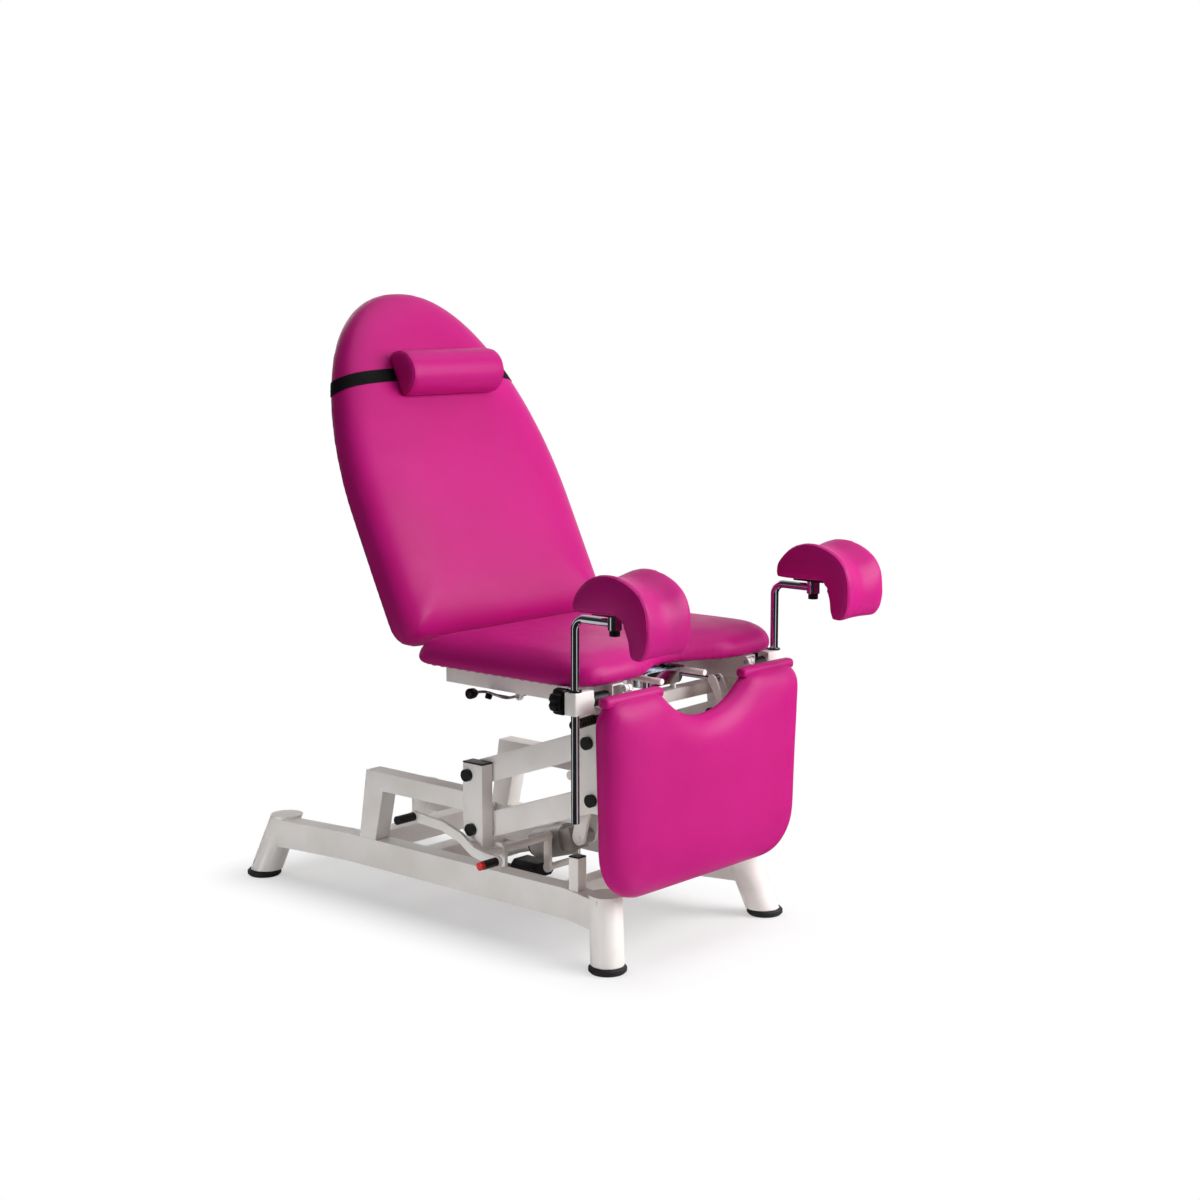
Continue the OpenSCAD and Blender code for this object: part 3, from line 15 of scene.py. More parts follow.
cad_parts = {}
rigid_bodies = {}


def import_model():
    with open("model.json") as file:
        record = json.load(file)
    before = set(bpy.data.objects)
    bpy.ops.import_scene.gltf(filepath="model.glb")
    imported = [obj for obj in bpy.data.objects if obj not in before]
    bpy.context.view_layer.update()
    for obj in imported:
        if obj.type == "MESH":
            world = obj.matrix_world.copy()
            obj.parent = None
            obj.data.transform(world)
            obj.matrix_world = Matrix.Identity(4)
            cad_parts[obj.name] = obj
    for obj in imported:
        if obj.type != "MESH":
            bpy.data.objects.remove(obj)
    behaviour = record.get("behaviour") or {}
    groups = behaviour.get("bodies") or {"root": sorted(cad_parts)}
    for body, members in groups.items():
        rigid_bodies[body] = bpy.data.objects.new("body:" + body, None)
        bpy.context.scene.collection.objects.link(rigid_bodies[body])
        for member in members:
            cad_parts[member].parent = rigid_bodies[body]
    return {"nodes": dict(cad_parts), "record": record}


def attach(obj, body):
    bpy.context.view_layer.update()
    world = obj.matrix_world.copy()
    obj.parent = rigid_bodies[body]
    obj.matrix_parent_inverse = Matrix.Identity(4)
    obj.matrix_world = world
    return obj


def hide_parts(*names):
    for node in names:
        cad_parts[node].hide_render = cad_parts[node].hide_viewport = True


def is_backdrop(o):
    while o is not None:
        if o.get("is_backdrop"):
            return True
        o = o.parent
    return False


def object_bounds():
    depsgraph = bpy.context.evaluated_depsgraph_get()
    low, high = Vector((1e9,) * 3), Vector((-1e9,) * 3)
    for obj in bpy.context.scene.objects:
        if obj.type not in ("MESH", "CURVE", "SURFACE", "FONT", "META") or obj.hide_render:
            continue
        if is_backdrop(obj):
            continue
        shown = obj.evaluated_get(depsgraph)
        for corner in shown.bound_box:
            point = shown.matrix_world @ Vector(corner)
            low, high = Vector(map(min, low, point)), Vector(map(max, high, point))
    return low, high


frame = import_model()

log = logging.getLogger("chair")

Tree = bpy.types.NodeTree
Node = bpy.types.Node
Socket = bpy.types.NodeSocket
Material = bpy.types.Material
Thing = bpy.types.Object
Point2 = tuple[float, float]
Point3 = tuple[float, float, float]
Stops = Sequence[tuple[float, str]]
Place = Callable[[float, float, float], Vector]
MM = 0.001
WHITE = (1.0, 1.0, 1.0, 1.0)
# Meshes: radius of a point on an axis, points round a tube and a turned piece, and how edges are rounded
THIN = 1e-5
TUBE_SIDES = 12
TURNED_SIDES = 40
ROUND_FROM = 35.0  # degrees
ROUND_LONGER = 0.012
ROUND_STEPS = 3
# Covers: the foam's pressure, the cloth, the frames until it has settled, and the passes that even it out
PRESSURE = 4.0
CLOTH_QUALITY = 5
CLOTH_BENDING = 2.0
CLOTH_FRAMES = 20
EVEN_PASSES = 12
SMOOTH_PASSES = 3
WELT_SUNK = 0.0004


class Side(Enum):
    """The patient's sides; the right one is nearer to the photograph's camera."""

    RIGHT = -1
    LEFT = 1

    @property
    def word(self) -> str:
        """Name of the side, as the CAD nodes end in it."""
        return self.name.lower()


# Colour and nodes


def linear(code: str) -> tuple[float, float, float, float]:
    """Turns an sRGB hex colour into linear light.

    Args:
        code: Colour such as "#cb2a83".

    Returns:
        Red, green, blue and alpha for a shader socket.
    """
    parts = [int(code[i:i + 2], 16) / 255 for i in (1, 3, 5)]
    low = [p / 12.92 if p <= 0.04045 else ((p + 0.055) / 1.055) ** 2.4 for p in parts]
    return (low[0], low[1], low[2], 1.0)


def add_node(tree: Tree, kind: str, links: Optional[dict] = None, **settings) -> Node:
    """Adds a node, sets it up and links its inputs.

    Args:
        tree: Node tree that gets the node.
        kind: Blender's name of the node type.
        links: Input name or number to an output socket, or to a constant.
        **settings: Attributes of the node.

    Returns:
        The new node.
    """
    node = tree.nodes.new(kind)
    for name, value in settings.items():
        setattr(node, name, value)
    for key, value in (links or {}).items():
        if isinstance(value, Socket):
            tree.links.new(value, node.inputs[key])
        else:
            node.inputs[key].default_value = value
    return node


def cleared(owner: Material | bpy.types.World) -> Tree:
    """Gives a material or world an empty node tree.

    Args:
        owner: The material or world.

    Returns:
        Its tree.
    """
    owner.use_nodes = True
    owner.node_tree.nodes.clear()
    return owner.node_tree


def ramp(tree: Tree, source: Socket, stops: Stops) -> Socket:
    """Colours a value between hex stops.

    Args:
        tree: Node tree that gets the ramp.
        source: The value, from 0 to 1.
        stops: Places and hex colours, in order.

    Returns:
        The ramp's colour output.
    """
    node = add_node(tree, "ShaderNodeValToRGB", {0: source})
    elements = node.color_ramp.elements
    while len(elements) < len(stops):
        elements.new(0.5)
    for element, (at, code) in zip(elements, stops):
        element.position = at
        element.color = linear(code)
    return node.outputs[0]


def spread_out(tree: Tree, source: Socket, spans: Sequence[object], kind: str = "LINEAR") -> Socket:
    """Maps a value's range onto another one.

    Args:
        tree: Node tree that gets the node.
        source: The value to map.
        spans: Start and end of its range, and the results there.
        kind: How it goes between them.

    Returns:
        The mapped value.
    """
    links = {0: source, 1: spans[0], 2: spans[1], 3: spans[2], 4: spans[3]}
    return add_node(tree, "ShaderNodeMapRange", links, interpolation_type=kind).outputs[0]


def number(tree: Tree, operation: str, first: object, second: object) -> Socket:
    """Works out one number from two."""
    return add_node(tree, "ShaderNodeMath", {0: first, 1: second}, operation=operation).outputs[0]


def vector(tree: Tree, operation: str, *values: object) -> Node:
    """Works with vectors; its outputs are the vector and the value."""
    return add_node(tree, "ShaderNodeVectorMath", dict(enumerate(values)), operation=operation)


@dataclass(frozen=True)
class Coat:
    """A material in the making: its tree, its Principled shader and its object coordinates in metres."""

    tree: Tree
    shader: Node
    place: Socket

    def noise(self, size: float, detail: float = 3.0) -> Socket:
        """Noise whose cells are about size metres wide."""
        links = {"Vector": self.place, "Scale": 1 / size, "Detail": detail}
        return add_node(self.tree, "ShaderNodeTexNoise", links).outputs[0]

    def ribs(self, width: float, distortion: float, way: str) -> Socket:
        """Waves that are width metres apart along X, Y or Z."""
        links = {"Vector": self.place, "Scale": 1 / width / 6.28, "Distortion": distortion}
        return add_node(self.tree, "ShaderNodeTexWave", links, bands_direction=way).outputs[1]

    def edges(self, start: float, end: float, most: float) -> Socket:
        """Share of wear on outer edges, rising to most."""
        wear = add_node(self.tree, "ShaderNodeNewGeometry").outputs["Pointiness"]
        return spread_out(self.tree, wear, (start, end, 0.0, most))

    def tint(self, source: Socket, stops: Stops) -> None:
        """Colours the shader by a value."""
        self.tree.links.new(ramp(self.tree, source, stops), self.shader.inputs["Base Color"])

    def blend(self, share: Socket, first: object, second: object) -> None:
        """Colours the shader between two colours."""
        mixed = add_node(self.tree, "ShaderNodeMix", {0: share, 6: first, 7: second}, data_type="RGBA")
        self.tree.links.new(mixed.outputs[2], self.shader.inputs["Base Color"])

    def rough(self, source: Socket, low: float, high: float) -> None:
        """Sets the roughness by a value, most of which lies between 0.3 and 0.7."""
        level = spread_out(self.tree, source, (0.3, 0.7, low, high))
        self.tree.links.new(level, self.shader.inputs["Roughness"])

    def relief(self, height: Socket, depth: float, share: float, before: Optional[Socket] = None) -> Socket:
        """Bumps the shader's normal.

        Args:
            height: Height, from 0 to 1.
            depth: Depth of the relief in metres.
            share: Share of the effect.
            before: A normal to build on.

        Returns:
            The normal.
        """
        links = {"Height": height, "Distance": depth, "Strength": share}
        if before is not None:
            links["Normal"] = before
        node = add_node(self.tree, "ShaderNodeBump", links)
        self.tree.links.new(node.outputs[0], self.shader.inputs["Normal"])
        return node.outputs[0]


@dataclass(frozen=True)
class Finish:
    """What every finish shares: a name, a colour and a base shader on object coordinates."""

    name: str = "finish"
    colour: str = "#808080"
    metallic: float = 0.0
    specular: float = 0.5

    def build(self) -> Material:
        """Makes the material.

        Returns:
            The new material.
        """
        material = bpy.data.materials.new(self.name)
        tree = cleared(material)
        shader = add_node(tree, "ShaderNodeBsdfPrincipled")
        shader.inputs["Metallic"].default_value = self.metallic
        shader.inputs["Specular IOR Level"].default_value = self.specular
        add_node(tree, "ShaderNodeOutputMaterial", {0: shader.outputs[0]})
        self.dress(Coat(tree, shader, add_node(tree, "ShaderNodeTexCoord").outputs["Object"]))
        return material

    def dress(self, coat: Coat) -> None:
        """Adds what is special to the finish."""
        raise NotImplementedError


# Upholstery vinyl: PVC film on a knit backing, embossed with a fine leather grain.
# It gives a soft wide highlight, a faint grain, and a lighter colour where the film is drawn round an edge.
@dataclass(frozen=True)
class UpholsteryVinyl(Finish):
    """Embossed upholstery vinyl, stretched over foam."""

    name: str = "embossed_upholstery_vinyl"
    colour: str = "#b71275"
    specular: float = 0.15
    deep: str = "#b31171"
    light: str = "#bb1479"
    grain: float = 1.1 * MM  # real grain is about 0.8 mm; drawn a little coarser so that it shows

    def dress(self, coat: Coat) -> None:
        """Grain, stretch marks and slight wear."""
        stops = [(0.3, self.deep), (0.5, self.colour), (0.72, self.light)]
        links = {"Vector": coat.place, "Scale": 1 / self.grain}
        cells = add_node(coat.tree, "ShaderNodeTexVoronoi", links, feature="DISTANCE_TO_EDGE")
        creases = spread_out(coat.tree, cells.outputs[0], (0.0, 0.16, 0.0, 1.0))
        tint = ramp(coat.tree, coat.noise(0.16, 2.0), stops)
        coat.blend(coat.edges(0.52, 0.60, 0.35), tint, linear(self.light))
        coat.rough(coat.noise(0.035, 4.0), 0.36, 0.43)
        first = coat.relief(creases, 0.05 * MM, 0.35)
        coat.relief(coat.noise(0.075, 2.0), 1.0 * MM, 0.18, first)


# Epoxy-polyester powder coat, baked on steel tube: a faint orange peel and a satin, milky highlight.
@dataclass(frozen=True)
class PowderCoat(Finish):
    """White powder-coated steel."""

    name: str = "white_powder_coated_steel"
    colour: str = "#f3f0ed"
    dull: str = "#ebe6e1"

    def dress(self, coat: Coat) -> None:
        """Orange peel, and a little grime."""
        coat.tint(coat.noise(0.12, 4.0), [(0.35, self.dull), (0.6, self.colour)])
        coat.rough(coat.noise(0.03), 0.3, 0.4)
        # Orange peel is 1 to 2 mm wide; drawn at 2.2 mm
        coat.relief(coat.noise(2.2 * MM, 2.0), 0.06 * MM, 0.5)


# Glass-filled nylon, moulded with a spark-eroded grain: nearly black, with a broad grey sheen.
@dataclass(frozen=True)
class MouldedNylon(Finish):
    """Black moulded nylon of caps, knobs and grips."""

    name: str = "black_moulded_nylon"
    colour: str = "#08080a"
    specular: float = 0.3
    worn: str = "#131316"

    def dress(self, coat: Coat) -> None:
        """Fine mould grain and rubbed edges."""
        coat.blend(coat.edges(0.53, 0.62, 0.6), linear(self.colour), linear(self.worn))
        coat.rough(coat.noise(0.01), 0.36, 0.5)
        coat.relief(coat.noise(0.8 * MM, 2.0), 0.05 * MM, 0.5)


# Natural rubber, moulded: matt, a little dusty where it meets the floor.
@dataclass(frozen=True)
class MouldedRubber(Finish):
    """Black rubber of the feet."""

    name: str = "black_moulded_rubber"
    colour: str = "#17171a"
    dust: str = "#2c2b2c"

    def dress(self, coat: Coat) -> None:
        """Matt surface with dust low down."""
        height = add_node(coat.tree, "ShaderNodeSeparateXYZ", {0: coat.place}).outputs["Z"]
        low = spread_out(coat.tree, height, (0.0, 8 * MM, 0.6, 0.0))
        coat.blend(low, linear(self.colour), linear(self.dust))
        coat.rough(coat.noise(0.006), 0.62, 0.8)
        coat.relief(coat.noise(1.2 * MM), 0.1 * MM, 0.5)


# Chromium plate on polished steel: a slightly cool mirror with faint polishing lines. It looks as dark as the
# photograph shows it because the world and the floor give it a painted dark reflection with thin painted
# highlights.
@dataclass(frozen=True)
class ChromePlate(Finish):
    """Polished chrome of the crutch rods, piston rods and basin."""

    name: str = "polished_chrome_plate"
    colour: str = "#c6c9ce"
    metallic: float = 1.0

    def dress(self, coat: Coat) -> None:
        """Mirror with polishing haze."""
        coat.tint(coat.noise(0.05), [(0.3, "#bcbfc5"), (0.7, self.colour)])
        coat.rough(coat.noise(0.012, 4.0), 0.05, 0.12)
        coat.relief(coat.noise(0.004, 2.0), 0.02 * MM, 0.3)


# Zinc-plated turned steel: grey, with tool marks about 0.3 mm apart, drawn at 0.8 mm.
@dataclass(frozen=True)
class TurnedSteel(Finish):
    """Bright turned steel of pins, bushes, plates and wires."""

    name: str = "zinc_plated_turned_steel"
    colour: str = "#b4b8bc"
    metallic: float = 1.0

    def dress(self, coat: Coat) -> None:
        """Tool marks across the part."""
        coat.tint(coat.noise(0.02, 4.0), [(0.3, "#9a9ea3"), (0.7, self.colour)])
        coat.rough(coat.noise(0.008, 4.0), 0.26, 0.4)
        coat.relief(coat.ribs(0.8 * MM, 0.6, "X"), 0.03 * MM, 0.3)


# Air-dried machine enamel on the cast pump body: mid grey, slightly pitted.
@dataclass(frozen=True)
class PumpEnamel(Finish):
    """Grey enamel on the pump and the leg spring."""

    name: str = "grey_machine_enamel"
    colour: str = "#a7a39f"
    metallic: float = 0.25

    def dress(self, coat: Coat) -> None:
        """Cast pits under paint."""
        coat.tint(coat.noise(0.03, 5.0), [(0.3, "#8f8b88"), (0.7, self.colour)])
        coat.rough(coat.noise(0.01), 0.3, 0.45)
        coat.relief(coat.noise(0.003, 4.0), 0.2 * MM, 0.4)


# ABS, injection moulded: bright red with a wet highlight.
@dataclass(frozen=True)
class GlossAbs(Finish):
    """Red gloss plastic of the pedal's tips."""

    name: str = "red_gloss_abs"
    colour: str = "#e0120f"

    def dress(self, coat: Coat) -> None:
        """Slight scuffs."""
        coat.tint(coat.noise(0.01, 4.0), [(0.3, "#c90f0d"), (0.6, self.colour)])
        coat.rough(coat.noise(0.005), 0.18, 0.32)
        coat.relief(coat.noise(0.004, 2.0), 0.05 * MM, 0.3)


# Birch plywood: warm, with long grain and darker streaks.
@dataclass(frozen=True)
class BirchPlywood(Finish):
    """Raw board under the cushions."""

    name: str = "birch_plywood"
    colour: str = "#c9a878"
    streak: str = "#a98454"

    def dress(self, coat: Coat) -> None:
        """Long grain along the chair."""
        drawn = add_node(coat.tree, "ShaderNodeMapping", {"Vector": coat.place, "Scale": (40.0, 3.0, 3.0)})
        links = {"Vector": drawn.outputs[0], "Scale": 3.0, "Detail": 5.0}
        grain = add_node(coat.tree, "ShaderNodeTexNoise", links).outputs[0]
        coat.tint(grain, [(0.35, self.streak), (0.65, self.colour)])
        coat.rough(grain, 0.55, 0.75)
        coat.relief(grain, 0.2 * MM, 0.4)


# Woven elastic: polyester over rubber cores, with ribs along its length.
@dataclass(frozen=True)
class WovenElastic(Finish):
    """Black elastic of the pillow strap."""

    name: str = "black_woven_elastic"
    colour: str = "#050506"
    specular: float = 0.15
    thread: str = "#0c0c0e"
    rib: float = 1.6 * MM  # real ribs are about 1 mm apart; drawn coarser so that they show

    def dress(self, coat: Coat) -> None:
        """Ribs across the strap's width."""
        ribs = coat.ribs(self.rib, 0.3, "Z")
        coat.tint(ribs, [(0.2, self.colour), (0.9, self.thread)])
        coat.rough(coat.noise(0.004), 0.7, 0.9)
        coat.relief(ribs, 0.3 * MM, 0.6)


# Meshes


def circle(count: int) -> list[Point2]:
    """Points of a unit circle, counter-clockwise from its first axis."""
    return [(math.cos(2 * math.pi * k / count), math.sin(2 * math.pi * k / count)) for k in range(count)]


def arc(centre: Point2, radius: float, start: float, end: float, steps: int) -> list[Point2]:
    """Points along an arc.

    Args:
        centre: Centre of the circle.
        radius: Its radius.
        start: First angle in degrees.
        end: Last angle in degrees.
        steps: Number of segments.

    Returns:
        The points, both ends included.
    """
    turn = [math.radians(start + (end - start) * i / steps) for i in range(steps + 1)]
    return [(centre[0] + radius * math.cos(a), centre[1] + radius * math.sin(a)) for a in turn]


def resample(loop: Sequence[Point2], count: int) -> list[Point2]:
    """Spaces a closed outline evenly.

    Args:
        loop: Corners of the outline.
        count: Number of points wanted.

    Returns:
        Evenly spaced points, beginning at the first corner.
    """
    ring = list(loop) + [loop[0]]
    lengths = [math.dist(a, b) for a, b in zip(ring, ring[1:])]
    total = sum(lengths)
    out = []
    k = 0
    gone = 0.0
    for i in range(count):
        target = total * i / count
        while gone + lengths[k] < target:
            gone += lengths[k]
            k += 1
        t = (target - gone) / max(lengths[k], 1e-9)
        (ax, ay), (bx, by) = ring[k], ring[k + 1]
        out.append((ax + t * (bx - ax), ay + t * (by - ay)))
    return out


def inset(loop: Sequence[Point2], depth: float) -> list[Point2]:
    """Moves a counter-clockwise outline inwards along its own normals.

    Args:
        loop: Evenly spaced outline.
        depth: Distance inwards.

    Returns:
        The moved outline.
    """
    n = len(loop)
    out = []
    for i, p in enumerate(loop):
        a, b = loop[i - 1], loop[(i + 1) % n]
        dx, dy = b[0] - a[0], b[1] - a[1]
        size = math.hypot(dx, dy) or 1.0
        out.append((p[0] - depth * dy / size, p[1] + depth * dx / size))
    return out


def nearest(loop: Sequence[Point2], spot: Point2) -> float:
    """Distance from a point to an outline.

    Args:
        loop: The closed outline.
        spot: The point.

    Returns:
        The shortest distance.
    """
    best = math.inf
    px, py = spot
    for (ax, ay), (bx, by) in zip(loop, list(loop[1:]) + [loop[0]]):
        dx, dy = bx - ax, by - ay
        t = max(0.0, min(1.0, ((px - ax) * dx + (py - ay) * dy) / (dx * dx + dy * dy or 1.0)))
        best = min(best, (px - ax - t * dx) ** 2 + (py - ay - t * dy) ** 2)
    return math.sqrt(best)


def relax(loop: Sequence[Point2], rounds: int) -> list[Point2]:
    """Rounds off an outline's corners a little.

    Args:
        loop: Evenly spaced outline.
        rounds: Number of smoothing passes.

    Returns:
        The smoothed outline.
    """
    ring = list(loop)
    for _ in range(rounds):
        before, after = ring[-1:] + ring[:-1], ring[1:] + ring[:1]
        ring = [((a[0] + 2 * p[0] + b[0]) / 4, (a[1] + 2 * p[1] + b[1]) / 4)
                for a, p, b in zip(before, ring, after)]
    return ring


def loft(name: str, rings: Sequence[Sequence[Vector]]) -> Thing:
    """Skins rings that have as many points each, and closes both ends.

    Args:
        name: Name of the piece.
        rings: Rings from one end to the other.

    Returns:
        A smooth-shaded object whose faces point outwards.
    """
    bm = bmesh.new()
    rows = [[bm.verts.new(p) for p in ring] for ring in rings]
    n = len(rows[0])
    for a, b in zip(rows, rows[1:]):
        for i in range(n):
            j = (i + 1) % n
            bm.faces.new((a[i], a[j], b[j], b[i]))
    for row in (rows[0], rows[-1]):
        middle = bm.verts.new(sum((v.co for v in row), Vector()) / n)
        for i in range(n):
            bm.faces.new((row[i], row[(i + 1) % n], middle))
    bmesh.ops.remove_doubles(bm, verts=bm.verts, dist=1e-6)
    bmesh.ops.recalc_face_normals(bm, faces=bm.faces)
    return to_object(name, bm)


def to_object(name: str, bm: bmesh.types.BMesh, smooth: bool = True) -> Thing:
    """Turns a bmesh into a linked object and frees it.

    Args:
        name: Name of the piece.
        bm: Its mesh.
        smooth: Whether its faces are shaded smooth.

    Returns:
        The new object.
    """
    for face in bm.faces:
        face.smooth = smooth
    mesh = bpy.data.meshes.new(name)
    bm.to_mesh(mesh)
    bm.free()
    thing = bpy.data.objects.new(name, mesh)
    bpy.context.scene.collection.objects.link(thing)
    return thing


def square_to(along: Vector) -> Vector:
    """A unit vector at right angles to a given one."""
    guess = Vector((0, 0, 1)) if abs(along.z) < 0.9 else Vector((1, 0, 0))
    return along.cross(guess).normalized()


def tube(name: str, path: Sequence[Vector], radius: float) -> Thing:
    """Sweeps a round section along a path.

    Args:
        name: Name of the piece.
        path: Points of the centre line.
        radius: Radius of the section.

    Returns:
        The swept object.
    """
    rings = []
    across: Optional[Vector] = None
    for a, p, b in zip([path[0], *path], path, [*path[1:], path[-1]]):
        along = (b - a).normalized()
        if across is None:
            across = square_to(along)
        across = (across - along * across.dot(along)).normalized()
        other = along.cross(across)
        rings.append([p + radius * (across * c + other * s) for c, s in circle(TUBE_SIDES)])
    return loft(name, rings)


def turned(name: str, profile: Sequence[Point2], centre: Vector, axis: Vector) -> Thing:
    """Turns a profile about an axis.

    Args:
        name: Name of the piece.
        profile: Pairs of distance along the axis and radius, from end to end.
        centre: Where the axis starts.
        axis: Direction of the axis.

    Returns:
        The turned object.
    """
    along = axis.normalized()
    u = square_to(along)
    w = along.cross(u)
    rings = [[centre + along * a + max(r, THIN) * (u * c + w * s) for c, s in circle(TURNED_SIDES)]
             for a, r in profile]
    return loft(name, rings)


def joined(name: str, things: Sequence[Thing]) -> Thing:
    """Makes one object of several.

    Args:
        name: Name of the result.
        things: Mesh objects at the origin.

    Returns:
        The joined object.
    """
    bm = bmesh.new()
    for thing in things:
        bm.from_mesh(thing.data)
        bpy.data.objects.remove(thing)
    bmesh.ops.recalc_face_normals(bm, faces=bm.faces)
    return to_object(name, bm)


def sharpen(thing: Thing, degrees: float) -> None:
    """Shades an object smooth, but with its sharper edges kept.

    Args:
        thing: Mesh object.
        degrees: Angle from which an edge stays sharp.
    """
    bm = bmesh.new()
    bm.from_mesh(thing.data)
    for edge in bm.edges:
        edge.smooth = not (len(edge.link_faces) == 2 and edge.calc_face_angle(0) > math.radians(degrees))
    for face in bm.faces:
        face.smooth = True
    bm.to_mesh(thing.data)
    bm.free()


def baked(thing: Thing) -> Thing:
    """Turns an object with modifiers into a plain mesh.

    Args:
        thing: Object with live modifiers.

    Returns:
        The same object, without modifiers.
    """
    graph = bpy.context.evaluated_depsgraph_get()
    made = thing.evaluated_get(graph)
    mesh = bpy.data.meshes.new_from_object(made, preserve_all_data_layers=True, depsgraph=graph)
    thing.modifiers.clear()
    thing.data = mesh
    return thing


def wear_on(thing: Thing, material: Material, body: str,
            stands_for: Sequence[str] = ()) -> Thing:
    """Dresses a finished piece and fixes it to its body.

    Args:
        thing: The piece.
        material: Its material.
        body: CAD body that it moves with.
        stands_for: CAD nodes that it replaces.

    Returns:
        The piece.
    """
    thing.data.materials.clear()
    thing.data.materials.append(material)
    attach(thing, body)
    if stands_for:
        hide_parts(*stands_for)
    log.info("%s: %d faces on %s", thing.name, len(thing.data.polygons), body)
    return thing


def softened(node: str, radius: float) -> Thing:
    """Copies a CAD node and rounds its long outer edges, as bent and welded tube has them.

    Args:
        node: Name of the CAD node.
        radius: Radius of the rounding; 0 leaves the edges as they are.

    Returns:
        The copy.
    """
    bm = bmesh.new()
    bm.from_mesh(frame["nodes"][node].data)
    bmesh.ops.remove_doubles(bm, verts=bm.verts, dist=2e-6)
    bmesh.ops.dissolve_limit(bm, angle_limit=math.radians(1.0), verts=bm.verts, edges=bm.edges)
    if radius:
        chosen = [e for e in bm.edges if len(e.link_faces) == 2 and e.calc_length() > ROUND_LONGER
                  and e.calc_face_angle_signed(0) > math.radians(ROUND_FROM)]
        bmesh.ops.bevel(bm, geom=chosen, offset=radius, segments=ROUND_STEPS, profile=0.5, affect="EDGES",
                        clamp_overlap=True)
    bmesh.ops.triangulate(bm, faces=[f for f in bm.faces if len(f.verts) > 4])
    thing = to_object(node + "_piece", bm)
    sharpen(thing, 40)
    return thing


def puffed(thing: Thing, voxel: float, cap: float, held: Callable[[Vector], bool]) -> Thing:
    """Lets foam press a cover outwards with a cloth simulation, and smooths the result.

    Args:
        thing: Closed mesh of the cover, a little small.
        voxel: Size of the remeshed faces.
        cap: Furthest that a point may move.
        held: Tells whether a point is stapled down.

    Returns:
        The same object with its new shape.
    """
    remesh = thing.modifiers.new("even_cloth", "REMESH")
    remesh.mode = "VOXEL"
    remesh.voxel_size = voxel
    remesh.use_smooth_shade = True
    baked(thing)
    start = [v.co.copy() for v in thing.data.vertices]
    group = thing.vertex_groups.new(name="stapled")
    group.add([i for i, p in enumerate(start) if held(p)], 1.0, "REPLACE")
    cloth = thing.modifiers.new("cover", "CLOTH")
    cloth.settings.vertex_group_mass = "stapled"
    cloth.settings.use_pressure = True
    cloth.settings.uniform_pressure_force = PRESSURE
    cloth.settings.quality = CLOTH_QUALITY
    cloth.settings.bending_stiffness = CLOTH_BENDING
    cloth.settings.effector_weights.gravity = 0.0
    cloth.point_cache.frame_start = 1
    cloth.point_cache.frame_end = CLOTH_FRAMES
    for step in range(1, CLOTH_FRAMES + 1):
        bpy.context.scene.frame_set(step)
    graph = bpy.context.evaluated_depsgraph_get()
    moved = [v.co.copy() for v in thing.evaluated_get(graph).data.vertices]
    thing.modifiers.clear()
    thing.vertex_groups.clear()
    bpy.context.scene.frame_set(1)
    shifts = [b - a for a, b in zip(start, moved)]
    shifts = [s if s.length <= cap else s.normalized() * cap for s in shifts]
    bm = bmesh.new()
    bm.from_mesh(thing.data)
    bm.verts.ensure_lookup_table()
    near = [[edge.other_vert(v).index for edge in v.link_edges] for v in bm.verts]
    # The foam's shape is even, so neighbours share their shift, and creases at the staples fade
    for _ in range(EVEN_PASSES):
        shifts = [(s + sum((shifts[j] for j in row), Vector())) / (1 + len(row))
                  for s, row in zip(shifts, near)]
    for vertex, a, shift in zip(bm.verts, start, shifts):
        vertex.co = a + shift
    for _ in range(SMOOTH_PASSES):
        bmesh.ops.smooth_vert(bm, verts=bm.verts, factor=0.5,
                              use_axis_x=True, use_axis_y=True, use_axis_z=True)
    for face in bm.faces:
        face.smooth = True
    bm.to_mesh(thing.data)
    bm.free()
    finer = thing.modifiers.new("finer", "SUBSURF")
    finer.levels = finer.render_levels = 1
    return thing


def stretched(thing: Thing, start: Vector, ways: Sequence[Vector], wanted: Sequence[Point2]) -> None:
    """Stretches a made pad back to its intended size, along given directions.

    Args:
        thing: The pad, with its live modifiers.
        start: Where the directions start.
        ways: Unit directions.
        wanted: Lowest and highest place along each direction.
    """
    bpy.context.view_layer.update()
    mesh = thing.evaluated_get(bpy.context.evaluated_depsgraph_get()).data
    for way, (low, high) in zip(ways, wanted):
        found = [(v.co - start).dot(way) for v in mesh.vertices]
        middle = (max(found) + min(found)) / 2
        ratio = (high - low) / (max(found) - min(found))
        for vertex in thing.data.vertices:
            at = (vertex.co - start).dot(way)
            vertex.co += way * ((low + high) / 2 + (at - middle) * ratio - at)


